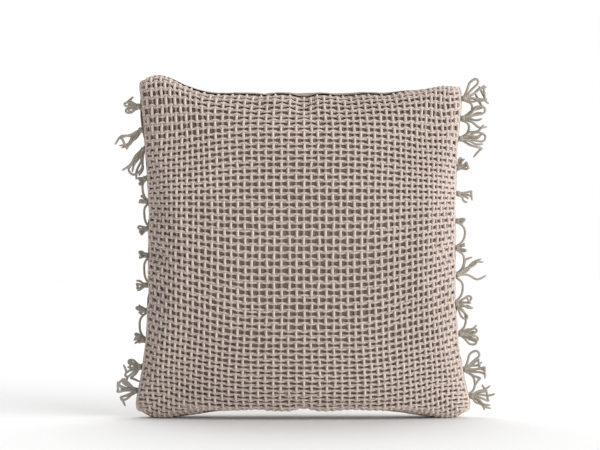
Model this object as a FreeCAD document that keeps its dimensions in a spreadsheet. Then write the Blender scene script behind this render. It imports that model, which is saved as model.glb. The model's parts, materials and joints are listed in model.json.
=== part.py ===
import FreeCAD, Part

import math
import os

import Sketcher
from FreeCAD import Placement, Rotation, Vector

# Throw pillow with a 450 mm nominal cover, standing upright on its two lower corners.
# Millimetres. The front faces -Y, +X is to the right of it and +Z is up. The origin is at
# the middle of the bounding box, on the surface that the pillow stands on.

GRID = 24                     # spans along each side of a crowned face
SLOPE_STEP = 0.5              # step used to measure the slope of the back, mm

DIMENSIONS = [
    # alias, value, what it is
    ("waist_left", 199.0, "middle of the left side, from the centre line"),
    ("waist_right", 197.0, "middle of the right side, from the centre line"),
    ("corner_top_left", 212.0, "upper left corner, from the centre line"),
    ("corner_top_right", 206.0, "upper right corner, from the centre line"),
    ("corner_low_left", 221.0, "lower left corner, from the centre line"),
    ("corner_low_right", 219.0, "lower right corner, from the centre line"),
    ("seam_low_middle", 13.0, "height of the bottom seam at the middle"),
    ("seam_top_middle", 421.0, "height of the top seam at the middle"),
    ("ear_left", 34.0, "rise of the upper left corner above the top seam"),
    ("ear_right", 16.0, "rise of the upper right corner above the top seam"),
    ("foot_press", 2.2, "how far a lower corner is pressed flat"),
    ("corner_pull", 6.0, "how far a corner is drawn in, each way"),
    ("crown_half", 70.0, "half of the thickness at the middle"),
    ("rim_half", 12.0, "half of the thickness along the seam"),
    ("crown_power", 2.3, "fullness of the crown, 2 is an ellipse"),
    ("zip_power", 6.0, "extra fullness that holds the back straight at the zip"),
    ("split_gap", 0.15, "front and back stay this far from the split plane"),
    ("net_thick", 4.0, "open-weave cord net"),
    ("ground_inset", 4.3, "ground cloth, below the outer face"),
    ("ground_thick", 1.0, "ground cloth"),
    ("back_thick", 2.0, "back panel cloth"),
    ("casing_inset", 8.0, "insert casing, below the outer face"),
    ("casing_thick", 0.7, "insert casing cloth"),
    ("filling_inset", 9.0, "fibre filling, below the outer face"),
    ("zip_height", 58.0, "height of the zip line at the back"),
    ("zip_sink", 3.3, "tape face, below the back surface"),
    ("chain_length", 280.0, "coil rows, from the bottom stop to the top stops"),
    ("chain_gap", 1.2, "gap between the two coil rows"),
    ("coil_width", 2.6, "one coil row"),
    ("coil_high", 2.2, "coil above the tape"),
    ("coil_round", 0.8, "rounding along the top of a coil row"),
    ("tape_width", 13.0, "one zip tape"),
    ("tape_thick", 0.6, "zip tape"),
    ("tape_extra", 20.0, "tape past each end of the chain"),
    ("slot_extra", 15.0, "opening in the back past each end of the chain"),
    ("slot_half", 5.0, "panel edge, from the zip line"),
    ("lap_gap", 0.3, "panel above the tape that it laps"),
    ("fit_gap", 0.35, "slider clearance on tape and coil"),
    ("touch_gap", 0.1, "coil and stops above the tape"),
    ("slider_long", 11.6, "slider body"),
    ("slider_half", 4.3, "half of the slider's width"),
    ("slider_nose", 2.6, "half of the width at the slider's narrow end"),
    ("plate_thick", 1.2, "slider plates"),
    ("post_thick", 0.5, "post between the plates"),
    ("post_long", 3.4, "post between the plates, along the chain"),
    ("bridge_wide", 2.0, "bridge over the pull's bar"),
    ("bridge_long", 6.6, "bridge along the chain"),
    ("bridge_wall", 1.0, "bridge metal"),
    ("bridge_clear", 2.1, "room under the bridge"),
    ("bar_half", 0.55, "half of the pull's thickness"),
    ("pull_wide", 7.0, "pull tab width"),
    ("pull_long", 25.0, "pull tab, from the hinge to its end"),
    ("pull_round", 2.4, "rounded end of the pull"),
    ("eye_wide", 3.2, "eye in the pull"),
    ("eye_long", 5.0, "eye in the pull, along it"),
    ("stop_long", 2.0, "zip stops, along the chain"),
    ("stop_high", 2.6, "zip stops above the tape"),
    ("tuft_gap", 1.0, "a tuft stands this far from the side seam"),
    ("neck_half", 1.8, "radius of a tuft's gathered neck"),
    ("neck_long", 5.0, "length of a tuft's gathered neck"),
    ("knot_half", 3.4, "radius of a tuft's knot"),
    ("splay_half", 5.0, "radius of a tuft's loose end"),
]

# Fringe tufts from the top down: height of the root, reach from the seam, rise in degrees.
TUFTS_LEFT = [
    (402.0, 24.0, 12.0), (374.0, 35.0, -8.0), (348.0, 30.0, -62.0), (312.0, 13.0, -20.0),
    (280.0, 13.0, 14.0), (246.0, 13.0, -12.0), (210.0, 13.0, 10.0), (172.0, 14.0, -16.0),
    (138.0, 15.0, 18.0), (100.0, 16.0, 10.0), (66.0, 22.0, -22.0), (34.0, 28.6, -6.0),
]
TUFTS_RIGHT = [
    (408.0, 28.0, 18.0), (382.0, 36.0, 14.0), (354.0, 34.0, 16.0), (322.0, 18.0, 32.0),
    (290.0, 16.0, 4.0), (256.0, 13.0, -14.0), (220.0, 14.0, 8.0), (184.0, 34.0, 30.0),
    (148.0, 28.0, 12.0), (108.0, 20.0, -6.0), (62.0, 32.0, 18.0), (24.0, 27.8, 6.0),
]

doc = FreeCAD.newDocument("ThrowPillow")
sheet = doc.addObject("Spreadsheet::Sheet", "Dimensions")
for row, (alias, value, note) in enumerate(DIMENSIONS, start=1):
    sheet.set("A%d" % row, alias)
    sheet.set("B%d" % row, str(value))
    sheet.set("C%d" % row, note)
    sheet.setAlias("B%d" % row, alias)
doc.recompute()

subparts = {}                 # node name: the document object that holds its shape


def size(alias):
    """One driving dimension, from the sheet."""
    return float(sheet.get(alias))


def keep(node, thing):
    """Names a finished sub-part."""
    thing.Label = node
    subparts[node] = thing


# --- the pillow's form ---------------------------------------------------------------

HALF_WIDTH = (size("waist_left") + size("waist_right")) / 2.0
HALF_HEIGHT = (size("seam_top_middle") - size("seam_low_middle")) / 2.0
MIDDLE = (size("seam_top_middle") + size("seam_low_middle")) / 2.0
ZIP_V = (size("zip_height") - MIDDLE) / HALF_HEIGHT


def smooth_step(low, high, value):
    """0 below low, 1 above high and a smooth ramp between."""
    ramp = min(max((value - low) / (high - low), 0.0), 1.0)
    return ramp * ramp * (3.0 - 2.0 * ramp)


def side_seam(side, v):
    """X of the left (-1) or right (+1) side seam, v from -1 at the bottom to 1 at the top."""
    hand = "left" if side < 0 else "right"
    level = "low" if v < 0 else "top"
    waist = size("waist_" + hand)
    corner = size("corner_%s_%s" % (level, hand))
    return side * (waist + (corner - waist) * abs(v) ** 3)


def bottom_seam(u):
    """Z of the bottom seam, which rises between the two corners that it stands on."""
    drop = size("seam_low_middle") + size("foot_press")
    return size("seam_low_middle") - drop * smooth_step(0.3, 0.92, abs(u))


def top_seam(u):
    """Z of the top seam, which runs up into an ear at each corner."""
    ear = size("ear_left") if u < 0 else size("ear_right")
    return size("seam_top_middle") + ear * abs(u) ** 5


def form_point(u, v, facing, inset):
    """A point of the crowned face: front (-1) or back (+1), inset below the outer face."""
    across = (u + 1.0) / 2.0
    along = (v + 1.0) / 2.0
    x = side_seam(-1, v) * (1.0 - across) + side_seam(1, v) * across
    z = bottom_seam(u) * (1.0 - along) + top_seam(u) * along
    drawn_in = size("corner_pull") * abs(u * v) ** 12
    x -= math.copysign(drawn_in, u)
    z -= math.copysign(drawn_in, v)
    x *= 1.0 - inset / HALF_WIDTH
    z = MIDDLE + (z - MIDDLE) * (1.0 - inset / HALF_HEIGHT)

    power_u = size("crown_power")
    if facing > 0:
        power_u += size("zip_power") * math.exp(-((v - ZIP_V) / 0.3) ** 2)
    round_u = math.sqrt(max(1.0 - abs(u) ** power_u, 0.0))
    round_v = math.sqrt(max(1.0 - abs(v) ** size("crown_power"), 0.0))
    rise = (size("crown_half") - size("rim_half")) * round_u * round_v
    return Vector(x, facing * (size("rim_half") - inset + rise), z)


def crowned_face(facing, inset):
    """The crowned surface, through points that crowd together towards the seams."""
    steps = [math.sin(math.pi * (i / GRID - 0.5)) for i in range(GRID + 1)]
    surface = Part.BSplineSurface()
    surface.interpolate([[form_point(u, v, facing, inset) for v in steps] for u in steps])
    return surface


def rim_curves(surface):
    """The four curves round a crowned surface, in order."""
    u_low, u_high, v_low, v_high = surface.bounds()
    return [surface.uIso(u_low), surface.vIso(v_high), surface.uIso(u_high), surface.vIso(v_low)]


def flattened(curve, y):
    """The same curve laid in the plane y."""
    flat = curve.copy()
    for index in range(1, flat.NbPoles + 1):
        pole = flat.getPole(index)
        flat.setPole(index, Vector(pole.x, y, pole.z))
    return flat


def walls_between(rims, others):
    """The walls that join two rows of rim curves."""
    return [Part.makeRuledSurface(rim.toShape(), other.toShape()) for rim, other in zip(rims, others)]


def closed_solid(faces):
    """Sews faces into one outward-facing solid."""
    shell = Part.makeShell(faces)
    shell.sewShape()
    solid = Part.makeSolid(shell)
    if solid.Volume < 0:
        solid.reverse()
    return solid


def sheath(name, facing, inset, thick):
    """A layer of even thickness that lines one half of the form, up to the split plane."""
    outer = crowned_face(facing, inset)
    inner = crowned_face(facing, inset + thick)
    split = facing * size("split_gap")
    outer_rims, inner_rims = rim_curves(outer), rim_curves(inner)
    outer_flats = [flattened(rim, split) for rim in outer_rims]
    inner_flats = [flattened(rim, split) for rim in inner_rims]
    outer_wire = Part.Wire([flat.toShape() for flat in outer_flats])
    inner_wire = Part.Wire([flat.toShape() for flat in inner_flats])
    edge_face = Part.makeFace([outer_wire, inner_wire], "Part::FaceMakerBullseye")
    faces = [outer.toShape(), inner.toShape(), edge_face]
    faces += walls_between(outer_rims, outer_flats) + walls_between(inner_rims, inner_flats)
    layer = doc.addObject("Part::Feature", name)
    layer.Shape = closed_solid(faces)
    return layer


def whole_form(name, inset):
    """The whole form, crowned on both faces."""
    front = crowned_face(-1, inset)
    back = crowned_face(1, inset)
    walls = walls_between(rim_curves(front), rim_curves(back))
    form = doc.addObject("Part::Feature", name)
    form.Shape = closed_solid([front.toShape(), back.toShape()] + walls)
    return form


def cut(name, base, tool):
    """base without tool."""
    result = doc.addObject("Part::Cut", name)
    result.Base = base
    result.Tool = tool
    return result


def fuse(name, pieces):
    """Several overlapping pieces as one."""
    result = doc.addObject("Part::MultiFuse", name)
    result.Shapes = pieces
    result.Refine = True
    return result


def pressed_flat(name, form):
    """form without what would be below the surface that the pillow stands on."""
    floor = doc.addObject("Part::Box", name + "_floor")
    floor.setExpression("Length", "4 * Dimensions.waist_left")
    floor.setExpression("Width", "4 * Dimensions.crown_half")
    floor.setExpression("Height", "10 * Dimensions.foot_press")
    floor.setExpression("Placement.Base.x", "-2 * Dimensions.waist_left")
    floor.setExpression("Placement.Base.y", "-2 * Dimensions.crown_half")
    floor.setExpression("Placement.Base.z", "-10 * Dimensions.foot_press")
    return cut(name, form, floor)


# --- the zip's own frame -------------------------------------------------------------

def zip_frame():
    """Placement of the zip: local X along the chain, Y up the back and Z out of it."""
    below = form_point(0.0, ZIP_V - SLOPE_STEP / HALF_HEIGHT, 1, 0.0)
    above = form_point(0.0, ZIP_V + SLOPE_STEP / HALF_HEIGHT, 1, 0.0)
    tilt = math.atan2(above.y - below.y, above.z - below.z)
    outward = Vector(0.0, math.cos(tilt), -math.sin(tilt))
    faces_back = Rotation(Vector(0, 0, 1), 180.0)
    leans_down = Rotation(Vector(1, 0, 0), -90.0 - math.degrees(tilt))
    return Placement((below + above) * 0.5 - outward * size("zip_sink"), leans_down.multiply(faces_back))


ZIP = zip_frame()


def in_zip(x, y, z):
    """A placement at a point of the zip's own frame."""
    return ZIP.multiply(Placement(Vector(x, y, z), Rotation()))


def zip_block(name, long, wide, high, corner):
    """A box in the zip's frame: three sheet expressions and the box's low corner."""
    box = doc.addObject("Part::Box", name)
    box.setExpression("Length", long)
    box.setExpression("Width", wide)
    box.setExpression("Height", high)
    box.Placement = in_zip(*corner)
    return box


def body_in_zip(name, corner):
    """An empty PartDesign body at a point of the zip's frame."""
    body = doc.addObject("PartDesign::Body", name)
    body.Placement = in_zip(*corner)
    return body


def flat_sketch(body, name, plane_role="XY_Plane"):
    """A sketch on one of a body's own planes."""
    sketch = body.newObject("Sketcher::SketchObject", name)
    plane = next(item for item in body.Origin.OriginFeatures if item.Role == plane_role)
    sketch.AttachmentSupport = [(plane, "")]
    sketch.MapMode = "FlatFace"
    return sketch


def hold_vertex(sketch, line, place):
    """Holds the start of a line at a place, measured from the sketch's origin."""
    for kind, distance in (("DistanceX", place.x), ("DistanceY", place.y)):
        if abs(distance) < 1e-9:
            axis = -2 if kind == "DistanceX" else -1
            sketch.addConstraint(Sketcher.Constraint("PointOnObject", line, 1, axis))
        elif distance > 0:
            sketch.addConstraint(Sketcher.Constraint(kind, -1, 1, line, 1, distance))
        else:
            sketch.addConstraint(Sketcher.Constraint(kind, line, 1, -1, 1, -distance))


def sketch_rectangle(sketch, x, y, wide, high):
    """A rectangle from its low corner, its sides bound to two sheet expressions."""
    corners = [Vector(x, y, 0), Vector(x + 1, y, 0), Vector(x + 1, y + 1, 0), Vector(x, y + 1, 0)]
    for index in range(4):
        sketch.addGeometry(Part.LineSegment(corners[index], corners[(index + 1) % 4]))
    for index in range(4):
        sketch.addConstraint(Sketcher.Constraint("Coincident", index, 2, (index + 1) % 4, 1))
    for index, level in enumerate(("Horizontal", "Vertical", "Horizontal", "Vertical")):
        sketch.addConstraint(Sketcher.Constraint(level, index))
    hold_vertex(sketch, 0, Vector(x, y, 0))
    for name, line, expression in (("wide", 0, wide), ("high", 1, high)):
        kind = "DistanceX" if line == 0 else "DistanceY"
        index = sketch.addConstraint(Sketcher.Constraint(kind, line, 1, line, 2, 1.0))
        sketch.renameConstraint(index, name)
        sketch.setExpression("Constraints." + name, expression)


def pad(body, sketch, thick, name):
    """Pads a sketch upwards by a sheet expression."""
    feature = body.newObject("PartDesign::Pad", name)
    feature.Profile = sketch
    feature.setExpression("Length", thick)
    doc.recompute()
    return feature


def upright_edges(shape, test):
    """Names of the straight edges along local Z whose middle passes a test."""
    names = []
    for index, edge in enumerate(shape.Edges, start=1):
        start, end = edge.Vertexes[0].Point, edge.Vertexes[-1].Point
        if abs(start.x - end.x) + abs(start.y - end.y) < 1e-6 and test((start + end) * 0.5):
            names.append("Edge%d" % index)
    return names


# --- cover and insert ----------------------------------------------------------------

def make_front():
    """The open-weave cord net, and the ground cloth that it lies on."""
    keep("front_net", pressed_flat("net", sheath("net_dish", -1, 0.0, size("net_thick"))))
    keep("front_ground_cloth", sheath("ground", -1, size("ground_inset"), size("ground_thick")))


def make_insert():
    """The insert: two casing panels round the fibre filling."""
    for node, facing in (("insert_casing_front", -1), ("insert_casing_back", 1)):
        keep(node, sheath(node + "_dish", facing, size("casing_inset"), size("casing_thick")))
    keep("insert_filling", whole_form("filling", size("filling_inset")))


def make_back():
    """The back panel, in two pieces whose folded edges lap the zip tapes."""
    dish = pressed_flat("back", sheath("back_dish", 1, 0.0, size("back_thick")))

    slot_long = size("chain_length") + 2.0 * size("slot_extra")
    slot = zip_block(
        "zip_slot",
        "Dimensions.chain_length + 2 * Dimensions.slot_extra",
        "2 * Dimensions.slot_half",
        "Dimensions.crown_half",
        (-slot_long / 2.0, -size("slot_half"), -size("crown_half") / 2.0))

    lap_long = size("chain_length") + 3.0 * size("tape_extra")
    lap_half = size("chain_gap") + size("tape_width")
    pocket_deep = size("crown_half") / 4.0
    pocket = zip_block(
        "tape_pocket",
        "Dimensions.chain_length + 3 * Dimensions.tape_extra",
        "2 * (Dimensions.chain_gap + Dimensions.tape_width)",
        "Dimensions.crown_half / 4",
        (-lap_long / 2.0, -lap_half, size("lap_gap") - pocket_deep))
    opened = cut("back_slotted", cut("back_pocketed", dish, pocket), slot)

    far = 4.0 * size("waist_left")
    for node, low_edge in (("back_panel_upper", size("split_gap") - far),
                           ("back_panel_lower", -size("split_gap"))):
        other_side = zip_block(
            node + "_trim",
            "4 * Dimensions.waist_left",
            "4 * Dimensions.waist_left",
            "4 * Dimensions.waist_left",
            (-far / 2.0, low_edge, -far / 2.0))
        keep(node, cut(node + "_cut", opened, other_side))


# --- zip -----------------------------------------------------------------------------

def make_chain():
    """Two woven tapes, each with its coil row, and the stops at the ends."""
    half_chain = size("chain_length") / 2.0
    row_long = size("chain_length") - 2.0 * size("stop_long")
    row_inner = size("chain_gap") / 2.0
    for side, hand in ((1, "upper"), (-1, "lower")):
        tape_low = row_inner if side > 0 else -row_inner - size("tape_width")
        tape = body_in_zip("tape_" + hand, (0.0, 0.0, -size("tape_thick")))
        outline = flat_sketch(tape, "tape_outline_" + hand)
        sketch_rectangle(
            outline, -half_chain - size("tape_extra"), tape_low,
            "Dimensions.chain_length + 2 * Dimensions.tape_extra", "Dimensions.tape_width")
        pad(tape, outline, "Dimensions.tape_thick", "tape_cloth_" + hand)
        keep("zip_tape_" + hand, tape)

        row_low = row_inner if side > 0 else -row_inner - size("coil_width")
        row_body = body_in_zip("coil_" + hand, (0.0, 0.0, size("touch_gap")))
        outline = flat_sketch(row_body, "coil_outline_" + hand)
        sketch_rectangle(
            outline, -half_chain, row_low,
            "Dimensions.chain_length - 2 * Dimensions.stop_long", "Dimensions.coil_width")
        bar = pad(row_body, outline, "Dimensions.coil_high", "coil_bar_" + hand)
        top = bar.Shape.BoundBox.ZMax
        long_edges = [
            "Edge%d" % index for index, edge in enumerate(bar.Shape.Edges, start=1)
            if edge.Length > row_long / 2.0 and edge.BoundBox.ZMin > top - size("touch_gap")
        ]
        rounding = row_body.newObject("PartDesign::Fillet", "coil_rounding_" + hand)
        rounding.Base = (bar, long_edges)
        rounding.setExpression("Radius", "Dimensions.coil_round")
        keep("zip_coil_" + hand, row_body)

    stop_wide = size("coil_width") + size("chain_gap") / 4.0
    stop_start = half_chain - 2.0 * size("stop_long") + size("fit_gap")
    stops = []
    for side, low in ((1, row_inner), (-1, -row_inner - stop_wide)):
        stops.append(zip_block(
            "top_stop_%s" % ("upper" if side > 0 else "lower"),
            "Dimensions.stop_long",
            "Dimensions.coil_width + Dimensions.chain_gap / 4",
            "Dimensions.stop_high",
            (stop_start, low, size("touch_gap"))))
    pair = doc.addObject("Part::Compound", "top_stop_pair")
    pair.Links = stops
    keep("zip_top_stops", pair)

    full_half = row_inner + stop_wide
    bottom = zip_block(
        "bottom_stop_box",
        "Dimensions.stop_long",
        "3 * Dimensions.chain_gap / 2 + 2 * Dimensions.coil_width",
        "Dimensions.stop_high",
        (-half_chain - size("stop_long") - size("fit_gap"), -full_half, size("touch_gap")))
    keep("zip_bottom_stop", bottom)


def slider_rest():
    """X of the slider's middle in the zip's frame, closed against the top stops."""
    closed_end = size("chain_length") / 2.0 - 2.0 * size("stop_long") + size("fit_gap")
    return closed_end - size("touch_gap") * 3.0 - size("slider_long") / 2.0


def slider_plate(name, low):
    """One plate of the slider: square at the divided end, tapered at the other."""
    body = body_in_zip(name, (slider_rest(), 0.0, low))
    sketch = flat_sketch(body, name + "_outline")
    half_long = size("slider_long") / 2.0
    corners = [
        Vector(-half_long, -size("slider_nose"), 0), Vector(0.0, -size("slider_half"), 0),
        Vector(half_long, -size("slider_half"), 0), Vector(half_long, size("slider_half"), 0),
        Vector(0.0, size("slider_half"), 0), Vector(-half_long, size("slider_nose"), 0),
    ]
    count = len(corners)
    for index, corner in enumerate(corners):
        sketch.addGeometry(Part.LineSegment(corner, corners[(index + 1) % count]))
    for index in range(count):
        sketch.addConstraint(Sketcher.Constraint("Coincident", index, 2, (index + 1) % count, 1))
        hold_vertex(sketch, index, corners[index])
    plate = pad(body, sketch, "Dimensions.plate_thick", name + "_pad")
    softened = body.newObject("PartDesign::Fillet", name + "_corners")
    softened.Base = (plate, upright_edges(plate.Shape, lambda middle: True))
    softened.setExpression("Radius", "Dimensions.plate_thick / 2")
    return body


def make_slider():
    """The slider: two plates, a post between the coil rows, side flanges and the bridge."""
    middle = slider_rest()
    half_long = size("slider_long") / 2.0
    coil_top = size("touch_gap") + size("coil_high")
    top_low = coil_top + size("fit_gap")
    under_high = -size("tape_thick") - size("fit_gap")
    top_plate = slider_plate("slider_top", top_low)
    under_plate = slider_plate("slider_under", under_high - size("plate_thick"))

    post = zip_block(
        "slider_post",
        "Dimensions.post_long",
        "Dimensions.post_thick",
        "Dimensions.tape_thick + 2 * Dimensions.fit_gap + Dimensions.touch_gap"
        " + Dimensions.coil_high + Dimensions.plate_thick",
        (middle + half_long - size("post_long") - size("plate_thick") / 2.0,
         -size("post_thick") / 2.0, under_high - size("plate_thick") / 2.0))

    flanges = []
    row_outer = size("chain_gap") / 2.0 + size("coil_width") + size("fit_gap")
    for side, low in ((1, row_outer), (-1, -size("slider_half"))):
        flanges.append(zip_block(
            "slider_flange_%s" % ("upper" if side > 0 else "lower"),
            "Dimensions.slider_long / 2 - Dimensions.plate_thick",
            "Dimensions.slider_half - Dimensions.chain_gap / 2"
            " - Dimensions.coil_width - Dimensions.fit_gap",
            "Dimensions.coil_high + Dimensions.plate_thick / 2",
            (middle + size("plate_thick") / 4.0, low, size("fit_gap"))))

    plate_top = top_low + size("plate_thick")
    arch = zip_block(
        "bridge_arch",
        "Dimensions.bridge_long",
        "Dimensions.bridge_wide",
        "Dimensions.bridge_clear + Dimensions.bridge_wall + Dimensions.plate_thick / 2",
        (middle - size("bridge_long") / 2.0, -size("bridge_wide") / 2.0,
         plate_top - size("plate_thick") / 2.0))
    room = zip_block(
        "bridge_room",
        "Dimensions.bridge_long - 2 * Dimensions.bridge_wall",
        "2 * Dimensions.bridge_wide",
        "Dimensions.bridge_clear + Dimensions.plate_thick",
        (middle - size("bridge_long") / 2.0 + size("bridge_wall"), -size("bridge_wide"),
         plate_top - size("plate_thick")))
    bridge = cut("slider_bridge", arch, room)
    keep("zip_slider", fuse("slider", [top_plate, under_plate, post, bridge] + flanges))


def make_pull():
    """The pull: a tab whose bar lies under the slider's bridge and turns there."""
    coil_top = size("touch_gap") + size("coil_high")
    plate_top = coil_top + size("fit_gap") + size("plate_thick")
    hinge_high = plate_top + size("bridge_clear") / 2.0
    body = body_in_zip("pull", (slider_rest(), 0.0, hinge_high - size("bar_half")))
    outline = flat_sketch(body, "pull_outline")
    sketch_rectangle(
        outline, -size("pull_long"), -size("pull_wide") / 2.0,
        "Dimensions.pull_long", "Dimensions.pull_wide")
    tab = pad(body, outline, "2 * Dimensions.bar_half", "pull_tab")

    rounding = body.newObject("PartDesign::Fillet", "pull_rounding")
    rounding.Base = (tab, upright_edges(tab.Shape, lambda middle: middle.x < -size("eye_long")))
    rounding.setExpression("Radius", "Dimensions.pull_round")
    doc.recompute()

    eye = flat_sketch(body, "eye_outline")
    sketch_rectangle(
        eye, -size("eye_long") - size("bar_half"), -size("eye_wide") / 2.0,
        "Dimensions.eye_long", "Dimensions.eye_wide")
    opening = body.newObject("PartDesign::Pocket", "pull_eye")
    opening.Profile = eye
    opening.Type = "ThroughAll"
    opening.Reversed = True
    doc.recompute()
    if opening.Shape.Volume > tab.Shape.Volume - size("eye_long"):
        raise RuntimeError("the pull's eye was not cut")

    bar = body.newObject("PartDesign::AdditiveCylinder", "pull_bar")
    bar.setExpression("Radius", "Dimensions.bar_half")
    bar.setExpression("Height", "Dimensions.pull_wide")
    along_y = Rotation(Vector(0, 0, 1), Vector(0, 1, 0))
    bar.Placement = Placement(Vector(0.0, -size("pull_wide") / 2.0, size("bar_half")), along_y)
    doc.recompute()
    if bar.Shape.Volume <= opening.Shape.Volume:
        raise RuntimeError("the pull's bar was not added")
    keep("zip_pull", body)


# --- fringe --------------------------------------------------------------------------

def make_tuft(node, side, height, reach, rise):
    """One knotted tuft of cord ends: gathered neck, knot and loose end."""
    v = (height - MIDDLE) / HALF_HEIGHT
    angle = math.radians(rise)
    heading = Vector(side * math.cos(angle), 0.0, math.sin(angle))
    clear = size("tuft_gap") + size("neck_half") * abs(math.sin(angle))
    root = Vector(side_seam(side, min(v, 1.0)) + side * clear, 0.0, height)
    turn = Rotation(Vector(0, 0, 1), heading)

    neck = doc.addObject("Part::Cylinder", node + "_neck")
    neck.setExpression("Radius", "Dimensions.neck_half")
    neck.setExpression("Height", "Dimensions.neck_long")
    neck.Placement = Placement(root, turn)

    knot = doc.addObject("Part::Sphere", node + "_knot")
    knot.setExpression("Radius", "Dimensions.knot_half")
    knot_at = root + heading * size("neck_long")
    knot.Placement = Placement(knot_at, turn)

    loose = doc.addObject("Part::Cone", node + "_loose")
    loose.setExpression("Radius1", "Dimensions.neck_half")
    loose.setExpression("Radius2", "Dimensions.splay_half")
    loose.Height = reach - size("neck_long")
    loose.Placement = Placement(knot_at, turn)
    keep(node, fuse(node + "_cords", [neck, knot, loose]))


def make_fringe():
    """The tufts down both sides."""
    for hand, side, tufts in (("left", -1, TUFTS_LEFT), ("right", 1, TUFTS_RIGHT)):
        for number, (height, reach, rise) in enumerate(tufts, start=1):
            make_tuft("fringe_%s_%02d" % (hand, number), side, height, reach, rise)


# --- build, check and export ---------------------------------------------------------

def check_document():
    """Stops if an object failed, or if a sub-part has no sound shape."""
    for thing in doc.Objects:
        if "Invalid" in thing.State or "Error" in thing.State:
            raise RuntimeError("%s did not recompute: %s" % (thing.Name, thing.State))
    for node, thing in subparts.items():
        shape = thing.Shape
        if shape.isNull() or not shape.isValid() or shape.Volume <= 0:
            raise RuntimeError("%s has no sound shape" % node)


def report_zip():
    """Prints where the zip's joints are, in metres."""
    middle = slider_rest()
    coil_top = size("touch_gap") + size("coil_high")
    hinge_high = coil_top + size("fit_gap") + size("plate_thick") + size("bridge_clear") / 2.0
    hinge = in_zip(middle, 0.0, hinge_high).Base * 0.001
    along = ZIP.Rotation.multVec(Vector(1, 0, 0))
    across = ZIP.Rotation.multVec(Vector(0, 1, 0))
    open_end = -size("chain_length") / 2.0 + size("slider_long") / 2.0
    print("hinge", tuple(hinge), "chain", tuple(along), "hinge axis", tuple(across))
    print("slide travel", (middle - open_end) * 0.001)


make_front()
make_insert()
make_back()
make_chain()
make_slider()
make_pull()
make_fringe()
doc.recompute()
check_document()
report_zip()

os.makedirs("parts", exist_ok=True)
for node, thing in subparts.items():
    thing.Shape.exportStep("parts/%s.step" % node)
    box = thing.Shape.BoundBox
    print("%-22s solids %d volume %.0f" % (node, len(thing.Shape.Solids), thing.Shape.Volume),
          "x %.1f %.1f" % (box.XMin, box.XMax), "y %.1f %.1f" % (box.YMin, box.YMax),
          "z %.1f %.1f" % (box.ZMin, box.ZMax))
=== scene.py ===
"""Throw pillow maker: an open cord net over a brown ground cloth, knotted fringe down two
sides, a zipped cloth back and a soft insert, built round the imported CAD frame."""

import json
import math
import random

import bmesh
import bpy
import numpy as np
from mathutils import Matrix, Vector

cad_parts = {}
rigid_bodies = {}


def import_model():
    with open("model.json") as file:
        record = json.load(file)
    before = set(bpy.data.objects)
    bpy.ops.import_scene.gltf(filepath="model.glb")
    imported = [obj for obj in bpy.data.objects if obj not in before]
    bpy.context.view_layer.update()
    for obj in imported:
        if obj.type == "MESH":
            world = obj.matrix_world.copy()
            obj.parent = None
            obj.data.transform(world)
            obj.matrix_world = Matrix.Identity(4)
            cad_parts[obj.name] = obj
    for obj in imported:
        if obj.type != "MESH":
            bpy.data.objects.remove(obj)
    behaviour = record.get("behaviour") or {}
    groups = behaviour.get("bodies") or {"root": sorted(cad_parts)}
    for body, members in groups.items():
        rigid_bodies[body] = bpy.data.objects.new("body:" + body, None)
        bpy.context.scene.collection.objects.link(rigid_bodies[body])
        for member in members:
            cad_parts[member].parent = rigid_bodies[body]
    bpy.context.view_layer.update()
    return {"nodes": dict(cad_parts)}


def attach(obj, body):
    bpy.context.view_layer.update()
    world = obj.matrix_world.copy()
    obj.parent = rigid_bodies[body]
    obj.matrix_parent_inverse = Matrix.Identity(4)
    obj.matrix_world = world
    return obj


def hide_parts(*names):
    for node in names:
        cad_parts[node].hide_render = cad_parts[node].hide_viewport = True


bl_info = {
    "name": "Throw Pillow Maker",
    "version": (1, 0, 0),
    "blender": (4, 5, 0),
    "location": "3D View > Sidebar > Pillow",
    "description": "Builds a corded throw pillow round its CAD frame",
    "category": "Add Mesh",
}

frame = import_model()

MM = 0.001
BODY = "pillow"

# The cover's outline (metres). It stands up to 9 mm outside the cover of the CAD frame.
WAIST = {-1: 0.202, 1: 0.197}
CORNER_TOP = {-1: 0.233, 1: 0.211}
CORNER_LOW = {-1: 0.225, 1: 0.224}
SEAM_LOW_MIDDLE, SEAM_TOP_MIDDLE = 0.013, 0.421
EAR = {-1: 0.037, 1: 0.020}
FOOT_PRESS = 0.0022
HALF_SIDE = 0.205
CORNER_ROUND, EAR_ROUND = 0.20, 0.38   # radius of a corner, as a share of half a side
RIM_HALF = 0.010      # how far the seam's edge bulges to each face
RIM_POWER = 20
DOME_SHARE = 0.65     # how much of the crown is a plain dome, the rest is as blown up
WEAVE_OPENING = math.radians(65)
BELLY_FOLD = -0.85    # v of the first row that isn't turned under the belly
ROW_BUNCHING = 0.040  # how much wider the rows lie at the middle of the height
SIDE_TOP = 0.434      # height of the rows' ends at the top, away from the corner
SIDE_DROPS = ((-0.55, 0.45, 0.011), (0.60, 0.40, 0.009))   # v, half width in v, drop in metres
CLIMB_START, CLIMB_END = 0.20, 0.65   # where across the rows begin and end their turn upwards
CLIMB_SHARE = 0.45
SEAM_SET_BACK = 0.004
FLOOR_GAP = 0.0003

# The zip's own frame: its centre on the tapes' outer face, the way out and the way up the back.
ZIP_CENTRE = np.array((-0.001, 0.04720, 0.05911))
ZIP_OUT = np.array((0.0, 0.941477, -0.337077))
ZIP_UP = np.array((0.0, 0.337077, 0.941477))
ZIP_SLOT_HALF_LENGTH = 0.155
ZIP_SLOT_HALF_WIDTH = 0.0048
ZIP_CHAIN = (-0.1365, 0.1390)
PANEL_OVER_TAPE = 0.0033

CELLS = 64          # cloth cells along each side of the sewn cover
SHEET_COLUMNS = 96  # cells across a finished sheet
COVER = {}          # the blown-up cover's two grids of points, filled by its operator


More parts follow.
